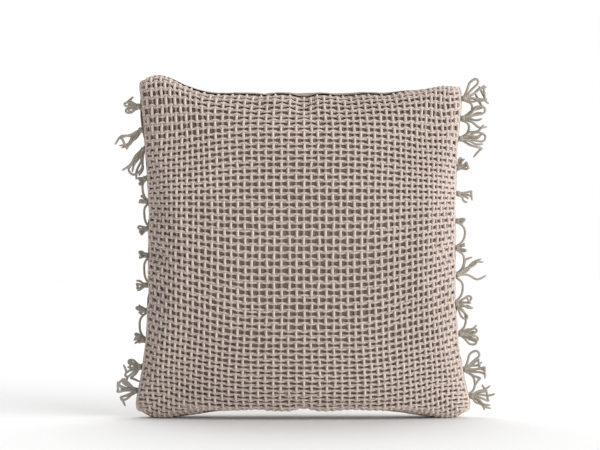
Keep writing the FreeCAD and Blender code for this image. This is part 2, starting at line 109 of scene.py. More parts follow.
def linear(red, green, blue):
    """A screen colour, 0 to 255, as the linear colour that shaders take."""
    def one(c):
        c /= 255
        return c / 12.92 if c <= 0.04045 else ((c + 0.055) / 1.055) ** 2.4
    return (one(red), one(green), one(blue))


def colour_property(name, description, default):
    return bpy.props.FloatVectorProperty(
        name=name, description=description, default=default, size=3,
        min=0.0, max=1.0, subtype="COLOR")


def length_property(name, description, default):
    return bpy.props.FloatProperty(
        name=name, description=description, default=default, min=0.0,
        precision=4, unit="LENGTH", subtype="DISTANCE")


class PillowCoverSettings(bpy.types.PropertyGroup):
    side: length_property("Cut side", "Side of the flat squares that the cover is sewn from", 0.45)
    fullness: length_property("Crown", "Greatest depth of the front and of the back from the seam", 0.070)
    sag: length_property("Sag", "How far the middle of the back slumps down", 0.006)
    pressure: bpy.props.FloatProperty(
        name="Pressure", description="Push of the filling on the cover while it is blown up",
        default=4.0, min=0.0)
    frames: bpy.props.IntProperty(
        name="Frames", description="How long the cover is blown up for", default=17, min=2)
    ground_colour: colour_property("Ground cloth", "Colour of the cloth under the net", linear(160, 141, 130))
    back_colour: colour_property("Back cloth", "Colour of the plain woven back", linear(172, 160, 148))


class PillowNetSettings(bpy.types.PropertyGroup):
    uprights: bpy.props.IntProperty(
        name="Uprights", description="Number of thick cords up the front", default=53, min=4)
    rows: bpy.props.IntProperty(
        name="Rows", description="Number of rows of holes up the front", default=58, min=4)
    upright_diameter: length_property("Upright diameter", "Thickness of the upright cords", 0.0033)
    cross_diameter: length_property("Cross diameter", "Thickness of the paired cross cords", 0.0029)
    upright_colour: colour_property("Upright cord", "Colour of the upright cords", linear(220, 204, 194))
    cross_colour: colour_property("Cross cord", "Colour of the paired cross cords", linear(216, 199, 189))


class PillowFringeSettings(bpy.types.PropertyGroup):
    diameter: length_property("Strand diameter", "Thickness of the fringe strands", 0.0033)
    colour: colour_property("Fringe cord", "Colour of the fringe", linear(176, 168, 156))
    seed: bpy.props.IntProperty(
        name="Seed", description="Which way the strands happen to fall", default=11)


class PillowZipSettings(bpy.types.PropertyGroup):
    coil_pitch: length_property("Coil pitch", "Distance from one turn of the coil to the next", 0.0015)
    stitch: length_property("Stitch", "Length of one stitch of the topstitching", 0.0028)
    tape_colour: colour_property("Tape", "Colour of the zip's tapes", linear(150, 138, 126))
    coil_colour: colour_property("Coil", "Colour of the zip's nylon coil", linear(168, 156, 144))
    metal_colour: colour_property("Metal", "Colour of the slider, pull and stops", linear(190, 182, 168))
    thread_colour: colour_property("Thread", "Colour of the sewing thread", linear(190, 178, 164))


class PillowInsertSettings(bpy.types.PropertyGroup):
    casing_inset: length_property("Casing inset", "Gap from the cover's face to the insert's casing", 0.0083)
    filling_inset: length_property("Filling inset", "Gap from the cover's face to the filling", 0.0096)
    casing_colour: colour_property("Casing", "Colour of the insert's casing", linear(236, 233, 226))
    filling_colour: colour_property("Filling", "Colour of the polyester filling", linear(244, 243, 240))


class PillowStageSettings(bpy.types.PropertyGroup):
    floor_colour: colour_property("Floor", "Colour of the studio floor", (0.985, 0.985, 0.985))
    camera_distance: length_property("Camera distance", "From the camera to the side seams", 2.6)
    camera_height: length_property("Camera height", "Height of the camera over the floor", 0.25)
    lens: bpy.props.FloatProperty(
        name="Lens", description="Focal length of the camera, in millimetres", default=120.0, min=1.0)


SETTINGS = {
    "pillow_cover": PillowCoverSettings,
    "pillow_net": PillowNetSettings,
    "pillow_fringe": PillowFringeSettings,
    "pillow_zip": PillowZipSettings,
    "pillow_insert": PillowInsertSettings,
    "pillow_stage": PillowStageSettings,
}


# ---------------------------------------------------------------- shader nodes

def add_node(tree, kind, inputs=None, **settings):
    """A new node whose inputs are linked where a socket is given and set otherwise."""
    node = tree.nodes.new(kind)
    for key, value in settings.items():
        setattr(node, key, value)
    for key, value in (inputs or {}).items():
        if isinstance(value, bpy.types.NodeSocket):
            tree.links.new(value, node.inputs[key])
        else:
            node.inputs[key].default_value = value
    return node


def sums(tree, operation, first, second=None, third=None):
    """The result of one Math node."""
    inputs = {i: x for i, x in enumerate((first, second, third)) if x is not None}
    return add_node(tree, "ShaderNodeMath", inputs, operation=operation).outputs[0]


def spread(tree, value, low, high, out_low, out_high):
    """A value taken from one range to another."""
    return add_node(tree, "ShaderNodeMapRange", {
        "Value": value, "From Min": low, "From Max": high,
        "To Min": out_low, "To Max": out_high}).outputs["Result"]


def new_group(name, inputs, outputs):
    """An empty shader node group, with its input and output nodes."""
    tree = bpy.data.node_groups.new(name, "ShaderNodeTree")
    for label, (kind, default) in inputs.items():
        socket = tree.interface.new_socket(name=label, in_out="INPUT", socket_type=kind)
        if default is not None:
            socket.default_value = default
    for label in outputs:
        tree.interface.new_socket(name=label, in_out="OUTPUT", socket_type="NodeSocketFloat")
    return tree, tree.nodes.new("NodeGroupInput"), tree.nodes.new("NodeGroupOutput")


def noise(tree, vector, scale, detail=2.0, roughness=0.5):
    return add_node(tree, "ShaderNodeTexNoise", {
        "Vector": vector, "Scale": scale, "Detail": detail, "Roughness": roughness}).outputs["Fac"]


def make_cord_twist():
    """Plies laid round a cord: the UV's first part runs along it in metres, its second round it."""
    tree, inside, outside = new_group(
        "Cord twist",
        {"Vector": ("NodeSocketVector", None), "Lay": ("NodeSocketFloat", 0.008),
         "Plies": ("NodeSocketFloat", 3.0), "Fuzz": ("NodeSocketFloat", 0.3)},
        ("Height", "Groove", "Fibre"))
    parts = add_node(tree, "ShaderNodeSeparateXYZ", {0: inside.outputs["Vector"]})
    turns = sums(tree, "DIVIDE", parts.outputs["X"], inside.outputs["Lay"])
    angle = sums(tree, "ADD", turns, parts.outputs["Y"])
    wave = sums(tree, "SINE", sums(tree, "MULTIPLY", sums(
        tree, "MULTIPLY", angle, inside.outputs["Plies"]), math.pi))
    round_ply = sums(tree, "POWER", sums(tree, "ABSOLUTE", wave), 0.6)
    along = add_node(tree, "ShaderNodeCombineXYZ", {
        "X": sums(tree, "MULTIPLY", parts.outputs["X"], 260.0),
        "Y": sums(tree, "MULTIPLY", angle, 26.0)})
    fibre = noise(tree, along.outputs[0], 1.0, 3.0, 0.6)
    fuzz = sums(tree, "MULTIPLY", sums(tree, "SUBTRACT", fibre, 0.5), inside.outputs["Fuzz"])
    tree.links.new(sums(tree, "ADD", round_ply, fuzz), outside.inputs["Height"])
    tree.links.new(sums(tree, "SUBTRACT", 1.0, round_ply), outside.inputs["Groove"])
    tree.links.new(fibre, outside.inputs["Fibre"])
    return tree


def make_plain_weave():
    """Warp and weft threads over and under each other, on a UV in metres."""
    tree, inside, outside = new_group(
        "Plain weave",
        {"Vector": ("NodeSocketVector", None), "Thread": ("NodeSocketFloat", 0.0007),
         "Slub": ("NodeSocketFloat", 0.5)},
        ("Height", "Gap", "Tone"))
    parts = add_node(tree, "ShaderNodeSeparateXYZ", {0: inside.outputs["Vector"]})
    count = sums(tree, "DIVIDE", math.pi, inside.outputs["Thread"])
    waves = []
    for axis in ("X", "Y"):
        turn = sums(tree, "MULTIPLY", parts.outputs[axis], count)
        waves.append(sums(tree, "SINE", turn))
    crossing = sums(tree, "MULTIPLY", waves[0], waves[1])
    warp = product(tree, sums(tree, "ABSOLUTE", waves[0]), spread(tree, crossing, -1, 1, 0.45, 1))
    weft = product(tree, sums(tree, "ABSOLUTE", waves[1]), spread(tree, crossing, 1, -1, 0.45, 1))
    height = sums(tree, "MAXIMUM", warp, weft)
    tones = []
    for x, y in ((1500.0, 25.0), (25.0, 1500.0)):
        stretched = add_node(tree, "ShaderNodeVectorMath", {
            0: inside.outputs["Vector"], 1: (x, y, 1.0)}, operation="MULTIPLY")
        tones.append(noise(tree, stretched.outputs[0], 1.0))
    tone = sums(tree, "MULTIPLY", sums(tree, "SUBTRACT", sums(
        tree, "ADD", tones[0], tones[1]), 1.0), inside.outputs["Slub"])
    tree.links.new(height, outside.inputs["Height"])
    tree.links.new(sums(tree, "SUBTRACT", 1.0, height), outside.inputs["Gap"])
    tree.links.new(tone, outside.inputs["Tone"])
    return tree


def make_mottle():
    """Slow uneven change of tone over a piece, with finer specks of lint on top."""
    tree, inside, outside = new_group(
        "Mottle",
        {"Vector": ("NodeSocketVector", None), "Patch": ("NodeSocketFloat", 9.0),
         "Speck": ("NodeSocketFloat", 600.0)},
        ("Patches", "Specks"))
    tree.links.new(noise(tree, inside.outputs["Vector"], inside.outputs["Patch"], 2.0),
                   outside.inputs["Patches"])
    tree.links.new(noise(tree, inside.outputs["Vector"], inside.outputs["Speck"], 1.0),
                   outside.inputs["Specks"])
    return tree


def group(name):
    """A shared node group, made the first time that it is asked for."""
    makers = {"Cord twist": make_cord_twist, "Plain weave": make_plain_weave, "Mottle": make_mottle}
    return bpy.data.node_groups.get(name) or makers[name]()


def new_material(name):
    """A material with its Principled shader, ready for its own nodes."""
    material = bpy.data.materials.new(name)
    material.use_nodes = True
    tree = material.node_tree
    shader = tree.nodes["Principled BSDF"]
    where = tree.nodes.new("ShaderNodeTexCoord")
    return material, tree, shader, where


def use_group(tree, name, **inputs):
    node = tree.nodes.new("ShaderNodeGroup")
    node.node_tree = group(name)
    for key, value in inputs.items():
        if isinstance(value, bpy.types.NodeSocket):
            tree.links.new(value, node.inputs[key])
        else:
            node.inputs[key].default_value = value
    return node


def shaded(tree, colour, value):
    """A colour made lighter or darker by a factor that changes over the surface."""
    node = add_node(tree, "ShaderNodeHueSaturation", {"Value": value, "Color": (*colour, 1.0)})
    return node.outputs["Color"]


def bumped(tree, shader, height, distance, strength=1.0):
    bump = add_node(tree, "ShaderNodeBump", {
        "Height": height, "Distance": distance, "Strength": strength})
    tree.links.new(bump.outputs["Normal"], shader.inputs["Normal"])


def product(tree, *values):
    total = values[0]
    for value in values[1:]:
        total = sums(tree, "MULTIPLY", total, value)
    return total


def cord_material(name, colour, lay, sheen):
    """Twisted cotton cord: plies, loose fibres, a tone of its own for each cord, painted shade where a cord
    passes under the others and painted shade in the grooves between the plies.
    """
    material, tree, shader, where = new_material(name)
    twist = use_group(tree, "Cord twist", Vector=where.outputs["UV"], Lay=lay)
    mottle = use_group(tree, "Mottle", Vector=where.outputs["Object"])
    # The cord's own random tone, times the painted shade where it passes under the others.
    own = add_node(tree, "ShaderNodeAttribute", attribute_name="cord_tone_and_shade")
    tone = product(
        tree, own.outputs["Fac"],
        # Painted shade: the grooves between the plies are darkened.
        spread(tree, twist.outputs["Groove"], 0, 1, 1.04, 0.80),
        spread(tree, twist.outputs["Fibre"], 0.3, 0.7, 0.95, 1.05),
        spread(tree, mottle.outputs["Patches"], 0.3, 0.7, 0.96, 1.04))
    tree.links.new(shaded(tree, colour, tone), shader.inputs["Base Color"])
    tree.links.new(spread(tree, twist.outputs["Fibre"], 0.3, 0.7, 0.78, 0.95), shader.inputs["Roughness"])
    shader.inputs["Sheen Weight"].default_value = sheen
    shader.inputs["Sheen Roughness"].default_value = 0.5
    shader.inputs["Specular IOR Level"].default_value = 0.25
    bumped(tree, shader, twist.outputs["Height"], 0.0003)
    return material


def cloth_material(name, colour, thread, slub, sheen=0.1, gap_dark=0.72):
    """Plain woven cloth with uneven threads, and painted shade in the gaps between them."""
    material, tree, shader, where = new_material(name)
    weave = use_group(tree, "Plain weave", Vector=where.outputs["UV"], Thread=thread, Slub=slub)
    mottle = use_group(tree, "Mottle", Vector=where.outputs["Object"])
    tone = product(
        tree, spread(tree, weave.outputs["Tone"], -0.4, 0.4, 0.90, 1.10),
        # Painted shade: the gaps between the threads are darkened by gap_dark.
        spread(tree, weave.outputs["Gap"], 0.1, 1, 1.03, gap_dark),
        spread(tree, mottle.outputs["Patches"], 0.3, 0.7, 0.95, 1.05),
        spread(tree, mottle.outputs["Specks"], 0.3, 0.7, 0.97, 1.03))
    tree.links.new(shaded(tree, colour, tone), shader.inputs["Base Color"])
    tree.links.new(spread(tree, weave.outputs["Gap"], 0, 1, 0.82, 0.97), shader.inputs["Roughness"])
    shader.inputs["Sheen Weight"].default_value = sheen
    shader.inputs["Specular IOR Level"].default_value = 0.2
    bumped(tree, shader, weave.outputs["Height"], 0.00022)
    return material


def tape_material(name, colour):
    """Zip tape: a fine twill read from the piece's own place, with painted shade in the gaps between its
    threads.
    """
    material, tree, shader, where = new_material(name)
    turned = add_node(tree, "ShaderNodeMapping", {
        "Vector": where.outputs["Object"], "Rotation": (math.radians(-70), 0.0, math.radians(45))})
    weave = use_group(tree, "Plain weave", Vector=turned.outputs[0], Thread=0.0005, Slub=0.3)
    mottle = use_group(tree, "Mottle", Vector=where.outputs["Object"])
    tone = product(
        # Painted shade: the gaps between the threads are darkened.
        tree, spread(tree, weave.outputs["Gap"], 0, 1, 1.05, 0.75),
        spread(tree, mottle.outputs["Specks"], 0.3, 0.7, 0.95, 1.05))
    tree.links.new(shaded(tree, colour, tone), shader.inputs["Base Color"])
    shader.inputs["Roughness"].default_value = 0.85
    bumped(tree, shader, weave.outputs["Height"], 0.00015)
    return material


def nylon_material(name, colour):
    """Slightly clear nylon, with fine drawn marks along the monofilament."""
    material, tree, shader, where = new_material(name)
    mottle = use_group(tree, "Mottle", Vector=where.outputs["Object"], Speck=1800.0)
    tree.links.new(shaded(tree, colour, spread(
        tree, mottle.outputs["Specks"], 0.3, 0.7, 0.92, 1.08)), shader.inputs["Base Color"])
    tree.links.new(spread(tree, mottle.outputs["Specks"], 0.3, 0.7, 0.32, 0.48), shader.inputs["Roughness"])
    shader.inputs["Subsurface Weight"].default_value = 0.05
    return material


def metal_material(name, colour):
    """Plated zinc, handled dull: soft scuffs in its colour and its gloss."""
    material, tree, shader, where = new_material(name)
    mottle = use_group(tree, "Mottle", Vector=where.outputs["Object"], Patch=160.0, Speck=2500.0)
    scuff = product(tree, mottle.outputs["Patches"], mottle.outputs["Specks"])
    tree.links.new(shaded(tree, colour, spread(tree, scuff, 0.15, 0.4, 0.85, 1.05)), shader.inputs["Base Color"])
    tree.links.new(spread(tree, scuff, 0.15, 0.4, 0.45, 0.28), shader.inputs["Roughness"])
    shader.inputs["Metallic"].default_value = 1.0
    bumped(tree, shader, mottle.outputs["Specks"], 0.00003)
    return material


def filling_material(name, colour):
    """Matted polyester fibre."""
    material, tree, shader, where = new_material(name)
    matted = noise(tree, where.outputs["Object"], 260.0, 5.0, 0.65)
    tree.links.new(shaded(tree, colour, spread(tree, matted, 0.3, 0.7, 0.88, 1.04)), shader.inputs["Base Color"])
    shader.inputs["Roughness"].default_value = 0.95
    shader.inputs["Sheen Weight"].default_value = 0.3
    bumped(tree, shader, matted, 0.0012)
    return material


# ---------------------------------------------------------------- pieces

def place(name, mesh, material, body=BODY, replaces=(), smooth=True):
    """A finished piece: its object at the origin, riding on a body, with its finish."""
    piece = bpy.data.objects.new(name, mesh)
    bpy.context.scene.collection.objects.link(piece)
    mesh.materials.clear()
    mesh.materials.append(material)
    mesh.polygons.foreach_set("use_smooth", np.full(len(mesh.polygons), smooth))
    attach(piece, body)
    if replaces:
        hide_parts(*replaces)
    return piece


def dress(node, material):
    """Gives a CAD node that stays in view its own material."""
    piece = frame["nodes"][node]
    for slot in piece.material_slots:
        slot.link = "OBJECT"
        slot.material = material
    if not piece.material_slots:
        piece.data.materials.append(None)
        piece.material_slots[0].link = "OBJECT"
        piece.material_slots[0].material = material


def smooth_step(low, high, x):
    t = np.clip((x - low) / (high - low), 0.0, 1.0)
    return t * t * (3 - 2 * t)


# ---------------------------------------------------------------- the cover's shape

def side_reach(side, v):
    """How far out the side seam is at v, as a positive number."""
    corner = np.where(v > 0, CORNER_TOP[side], CORNER_LOW[side])
    return WAIST[side] + (corner - WAIST[side]) * np.abs(v) ** 3


def seam_heights(u):
    """Heights of the bottom and the top seam at u."""
    low = SEAM_LOW_MIDDLE - (SEAM_LOW_MIDDLE + FOOT_PRESS) * smooth_step(0.3, 0.92, np.abs(u))
    top = SEAM_TOP_MIDDLE + np.where(
        u < 0, EAR[-1] * smooth_step(0.52, 0.95, -u), EAR[1] * np.abs(u) ** 5)
    return low, top


def outline(u, v):
    """The seam's place in x and z, u across and v up, each from -1 to 1."""
    low, top = seam_heights(u)
    x = side_reach(1, v) * (1 + u) / 2 - side_reach(-1, v) * (1 - u) / 2
    return x, low * (1 - v) / 2 + top * (1 + v) / 2


def bell(v, middle, width):
    """A smooth hump, 1 high, that is 0 from a width either side of its middle."""
    return np.clip(1 - ((v - middle) / width) ** 2, 0, 1) ** 2


def hung_weave(u, v):
    """Where the front's weave lies in x and z. It is opened out over the crown and drawn close
    at the seams; its middle has slumped, so the rows dip between the sides, and the lowest of
    them are turned under the belly."""
    spread_out = np.sin(WEAVE_OPENING * u) / math.sin(WEAVE_OPENING)
    across = spread_out + (u - spread_out) * np.abs(v) ** 5
    low, top = seam_heights(across)
    rise = np.clip((v - BELLY_FOLD) / (1 - BELLY_FOLD), 0, 1)
    rise = rise - ROW_BUNCHING * np.sin(2 * np.pi * rise)
    middle = SEAM_LOW_MIDDLE + (SEAM_TOP_MIDDLE - SEAM_LOW_MIDDLE) * np.maximum(rise, 0)
    corner_top = SEAM_TOP_MIDDLE + np.where(u < 0, EAR[-1], EAR[1])
    side = -FOOT_PRESS + (SIDE_TOP + FOOT_PRESS) * (1 + v) / 2
    for place_v, half_width, drop in SIDE_DROPS:
        side = side - drop * bell(v, place_v, half_width)
    side = side + (corner_top - SIDE_TOP) * smooth_step(0.65, 1.0, v)
    out = np.abs(across)
    t = np.clip((out - CLIMB_START) / (CLIMB_END - CLIMB_START), 0, 1)
    climb = CLIMB_SHARE * (t ** 3 - t ** 4 / 2) + np.clip(out - CLIMB_END, 0, 1)
    climb = climb / (CLIMB_SHARE / 2 + 1 - CLIMB_END)
    z = middle + (side - middle) * climb
    at_seam = np.abs(v) ** 10
    z = z * (1 - at_seam) + np.where(v > 0, top, low) * at_seam
    level = np.clip((z - low) / (top - low) * 2 - 1, -1, 1)
    x = np.where(across > 0, side_reach(1, level), side_reach(-1, level)) * across
    return x, z


def rounded(u, v):
    """The shift in x, y and z that turns the four corners on an arc and sets the seam back."""
    ring = np.maximum(np.abs(u), np.abs(v))
    along = np.minimum(np.abs(u), np.abs(v)) / np.maximum(ring, 1e-6)
    radius = np.where((u < 0) & (v > 0), EAR_ROUND, CORNER_ROUND)
    share = np.clip((along - 1 + radius) / radius, 0, 1)
    angle = share * math.pi / 4
    strength = HALF_SIDE * radius * ring ** 6
    inward, slide = -(1 - np.cos(angle)) * strength, (np.sin(angle) - share) * strength
    by_side = np.abs(u) >= np.abs(v)
    return np.stack((np.sign(u) * np.where(by_side, inward, slide),
                     SEAM_SET_BACK * ring ** RIM_POWER,
                     np.sign(v) * np.where(by_side, slide, inward)), axis=-1)


def sewn_cover(side):
    """Two flat squares of cloth laid face to face and sewn together round the rim."""
    bm = bmesh.new()
    column, row, face = (bm.verts.layers.int.new(name) for name in ("column", "row", "face"))
    bmesh.ops.create_grid(bm, x_segments=CELLS, y_segments=CELLS, size=side / 2)
    bm.verts.ensure_lookup_table()
    for index, vert in enumerate(bm.verts):
        vert[row], vert[column] = divmod(index, CELLS + 1)
    copy = bmesh.ops.duplicate(bm, geom=bm.verts[:] + bm.edges[:] + bm.faces[:])
    for vert in copy["geom"]:
        if isinstance(vert, bmesh.types.BMVert):
            vert[face] = 1
    for vert in bm.verts:
        u, v = 2 * vert.co.x / side, 2 * vert.co.y / side
        on_rim = vert[row] in (0, CELLS) or vert[column] in (0, CELLS)
        puff = 0.0 if on_rim else 0.004 + 0.010 * (1 - u * u) * (1 - v * v)
        vert.co = (vert.co.x, puff if vert[face] else -puff, vert.co.y)
    bmesh.ops.remove_doubles(bm, verts=bm.verts[:], dist=1e-5)
    bmesh.ops.recalc_face_normals(bm, faces=bm.faces[:])
    if bm.calc_volume(signed=True) < 0:
        bmesh.ops.reverse_faces(bm, faces=bm.faces[:])
    mesh = bpy.data.meshes.new("cover_form")
    bm.to_mesh(mesh)
    bm.free()
    return mesh


def blow_up(mesh, pressure, frames):
    """Cloth simulation of the sewn cover, filled like a bag; gives its points at the end."""
    scene = bpy.context.scene
    bag = bpy.data.objects.new("cover_form", mesh)
    scene.collection.objects.link(bag)
    cloth = bag.modifiers.new("Cloth", "CLOTH")
    cloth.collision_settings.use_collision = False
    settings = cloth.settings
    settings.quality = 6
    settings.mass = 0.25
    settings.tension_stiffness = settings.compression_stiffness = 40
    settings.shear_stiffness = 12
    settings.bending_stiffness = 1.0
    settings.tension_damping = settings.compression_damping = settings.shear_damping = 10
    settings.air_damping = 2
    settings.use_pressure = True
    settings.uniform_pressure_force = pressure
    settings.effector_weights.gravity = 0.0
    scene.frame_start, scene.frame_end = 1, frames
    cloth.point_cache.frame_start, cloth.point_cache.frame_end = 1, frames
    for number in range(1, frames + 1):
        scene.frame_set(number)
    shown = bag.evaluated_get(bpy.context.evaluated_depsgraph_get()).data
    points = np.empty(len(shown.vertices) * 3)
    shown.vertices.foreach_get("co", points)
    scene.frame_set(1)
    bpy.data.objects.remove(bag)
    return points.reshape(-1, 3)


def layer(mesh, name):
    values = np.empty(len(mesh.vertices), dtype=np.int32)
    mesh.attributes[name].data.foreach_get("value", values)
    return values


def calmed(front, back):
    """Both faces with the large chance creases of the simulation evened out, for they would
    bend the whole weave; the creases near the seam and half of the depth's own are kept."""
    mean = 0.0
    for grid, turn in ((front, 1.0), (back, -1.0)):
        for flip_x in (1, -1):
            for flip_z in (1, -1):
                one = grid[::flip_z, ::flip_x] * (flip_x, turn, flip_z)
                mean = mean + one + one.transpose(1, 0, 2)[..., ::-1]
    mean = mean / 16
    steps = np.linspace(-1, 1, CELLS + 1)
    keep = rim_nearness(*np.meshgrid(steps, steps), 0.10)[..., None] * 0.6
    keep = np.maximum(keep, (0.0, 0.5, 0.0))
    result = []
    for grid, turn in ((front, 1.0), (back, -1.0)):
        even = mean * (1.0, turn, 1.0)
        result.append(even + (grid - even) * keep)
    return result


def evened(line, passes):
    """Values along a line with their short ripples taken out and its ends kept."""
    for _ in range(passes):
        middle = (line[:-2] + 2 * line[1:-1] + line[2:]) / 4
        line = np.concatenate((line[:1], middle, line[-1:]))
    return line


def ripples(grid):
    """The short creases of a blown-up face: what is left when it is evened both ways."""
    flat = evened(evened(grid, 12).swapaxes(0, 1), 12).swapaxes(0, 1)
    return grid - flat


def fitted(grid, face, fullness, sag):
    """A blown-up face laid out on the cover's outline, with its depth and its ripples kept."""
    steps = np.linspace(-1, 1, CELLS + 1)
    u, v = np.meshgrid(steps, steps)
    creases = ripples(grid)
    depth = np.abs(grid[..., 1]) / np.abs(grid[..., 1]).max()
    result = np.empty_like(grid)
    if face == "front":
        x, z = hung_weave(u, v)
    else:
        across = u + (np.sin(u) / math.sin(1) - u) * (1 - np.abs(v) ** 5)
        up = v + (np.sin(v) / math.sin(1) - v) * (1 - np.abs(u) ** 5)
        x, z = outline(across, up)
        z = z - sag * (1 - u ** 2) * (1 - v ** 2)
    result[..., 0] = x + creases[..., 0] * 0.8
    dome = ((1 - np.abs(u) ** 2.2) * (1 - np.abs(v) ** 2.2)) ** 0.55
    depth = (DOME_SHARE * dome + (1 - DOME_SHARE) * depth ** 1.3) * fullness
    result[..., 1] = depth * (-1 if face == "front" else 1)
    result[..., 1] += creases[..., 1] * 0.6
    result[..., 2] = z + creases[..., 2] * 0.8
    return result


def held_by_zip(grid):
    """The back drawn flat where the zip's tapes hold it."""
    offset = grid - ZIP_CENTRE
    out, up = offset @ ZIP_OUT, offset @ ZIP_UP
    hold = (1 - smooth_step(0.150, 0.212, np.abs(offset[..., 0]))) * (
        1 - smooth_step(0.014, 0.075, np.abs(up)))
    return grid + ((PANEL_OVER_TAPE - out) * hold)[..., None] * ZIP_OUT


def sample(grid, u, v):
    """Points on a face at u across and v up, smoothly between the grid's own points."""
    padded = np.pad(grid, ((1, 1), (1, 1), (0, 0)), mode="reflect", reflect_type="odd")
    rows, columns = grid.shape[0] - 1, grid.shape[1] - 1
    result = 0.0
    y = np.clip((v + 1) / 2 * rows, 0, rows - 1e-9)
    x = np.clip((u + 1) / 2 * columns, 0, columns - 1e-9)
    j, i = y.astype(int), x.astype(int)

    def weights(t):
        return (((-t + 2) * t - 1) * t / 2, ((3 * t - 5) * t * t + 2) / 2,
                ((-3 * t + 4) * t + 1) * t / 2, (t - 1) * t * t / 2)

    for a, wy in enumerate(weights(y - j)):
        for b, wx in enumerate(weights(x - i)):
            result = result + (wy * wx)[..., None] * padded[j + a, i + b]
    return result


def surface(outward, u, v):
    """The finished outer surface of the front or the back, with its rounded rim and corners."""
    points = sample(COVER[outward], u, v)
    depth = context_fullness()
    bulge = RIM_HALF * np.sqrt(1 - np.minimum(np.maximum(np.abs(u), np.abs(v)), 1.0) ** RIM_POWER)
    points[..., 1] = points[..., 1] * (depth - RIM_HALF) / depth + bulge * (
        -1 if outward == "front" else 1)
    points += rounded(u, v)
    return held_by_zip(points) if outward == "back" else points


def context_fullness():
    return bpy.context.scene.pillow_cover.fullness


def facing(outward, u, v):
    """Unit normals of the front or the back, kept steady at the rim."""
    step, edge = 0.006, 0.988
    u, v = np.clip(u, -edge, edge), np.clip(v, -edge, edge)
    across = surface(outward, u + step, v) - surface(outward, u - step, v)
    upward = surface(outward, u, v + step) - surface(outward, u, v - step)
    normal = np.cross(across, upward) * (1 if outward == "front" else -1)
    return normal / np.linalg.norm(normal, axis=-1, keepdims=True)


def on_face(outward, u, v, offset):
    """Points at an offset out from the front or the back face, never below the floor."""
    u, v = np.broadcast_arrays(np.asarray(u, float), np.asarray(v, float))
    offset = np.broadcast_to(np.asarray(offset, float), u.shape)
    points = surface(outward, u, v) + facing(outward, u, v) * offset[..., None]
    points[..., 2] = np.maximum(points[..., 2], FLOOR_GAP)
    return points


def rim_nearness(u, v, width):
    """1 at the seam and 0 from a width inside it."""
    return 1 - smooth_step(0, width, 1 - np.maximum(np.abs(u), np.abs(v)))


# ---------------------------------------------------------------- sheets and cords

def sheet_mesh(name, points, cut, flip=False):
    """A grid of quads through points, rows upward, with a UV of its flat cut in metres."""
    rows, columns = points.shape[0] - 1, points.shape[1] - 1
    bm = bmesh.new()
    uv = bm.loops.layers.uv.new("UVMap")
    bmesh.ops.create_grid(bm, x_segments=columns, y_segments=rows, size=0.5)
    bm.verts.ensure_lookup_table()
    for face in bm.faces:
        for loop in face.loops:
            loop[uv].uv = (loop.vert.co.x * cut[0], loop.vert.co.y * cut[1])
    for vert, point in zip(bm.verts, points.reshape(-1, 3)):
        vert.co = point
    if flip:
        bmesh.ops.reverse_faces(bm, faces=bm.faces[:])
    mesh = bpy.data.meshes.new(name)
    bm.to_mesh(mesh)
    bm.free()
    return mesh


def thicken(piece, thickness):
    """Gives a sheet its thickness on its inner side."""
    solid = piece.modifiers.new("Thickness", "SOLIDIFY")
    solid.thickness = thickness
    solid.offset = -1
    solid.use_even_offset = False
    return solid


def cord_mesh(name, lines, radius, roundness, swell=None, tone_range=0.05, seed=1, shade=None):
    """Round cords along lines of points, with a UV along and round each, and a tone of its own,
    which painted shade, given as shade, may darken along the cord."""
    curve = bpy.data.curves.new(name, "CURVE")
    curve.dimensions = "3D"
    curve.bevel_depth = radius
    curve.bevel_resolution = roundness
    lengths, counts = [], []
    for number, line in enumerate(lines):
        spline = curve.splines.new("POLY")
        spline.points.add(len(line) - 1)
        spline.points.foreach_set("co", np.column_stack((line, np.ones(len(line)))).ravel())
        if swell is not None:
            spline.points.foreach_set("radius", np.asarray(swell[number], float))
        lengths.append(np.linalg.norm(np.diff(line, axis=0), axis=1).sum())
        counts.append(len(line) - 1)
    holder = bpy.data.objects.new(name, curve)
    mesh = bpy.data.meshes.new_from_object(holder)
    bpy.data.objects.remove(holder)
    bpy.data.curves.remove(curve)
    sides = 4 + 2 * roundness
    per_corner = np.repeat(lengths, np.array(counts) * sides * 4)
    uv = np.empty(len(mesh.loops) * 2)
    layer_uv = mesh.uv_layers[0].data
    layer_uv.foreach_get("uv", uv)
    uv[0::2] *= per_corner
    layer_uv.foreach_set("uv", uv)
    rng = np.random.default_rng(seed)
    tones = np.repeat(1 + tone_range * rng.uniform(-1, 1, len(lengths)), np.array(counts) + 1)
    # Painted shade along the cord multiplies its own tone.
    if shade is not None:
        tones = tones * np.concatenate(list(shade))
    tone = mesh.attributes.new("cord_tone_and_shade", "FLOAT", "POINT")
    tone.data.foreach_set("value", np.repeat(tones, sides))
    bm = bmesh.new()
    bm.from_mesh(mesh)
    bmesh.ops.holes_fill(bm, edges=[e for e in bm.edges if e.is_boundary], sides=0)
    bm.to_mesh(mesh)
    bm.free()
    return mesh


def smooth_line(points, spans=5):
    """More points along a smooth line through a few."""
    points = np.asarray(points, float)
    padded = np.vstack((2 * points[0] - points[1], points, 2 * points[-1] - points[-2]))
    t = np.linspace(0, 1, spans, endpoint=False)[:, None]
    parts = []
    for p0, p1, p2, p3 in zip(padded, padded[1:], padded[2:], padded[3:]):
        parts.append(0.5 * (2 * p1 + (p2 - p0) * t + (2 * p0 - 5 * p1 + 4 * p2 - p3) * t ** 2
                            + (3 * p1 - p0 - 3 * p2 + p3) * t ** 3))
    return np.vstack((*parts, points[-1:]))


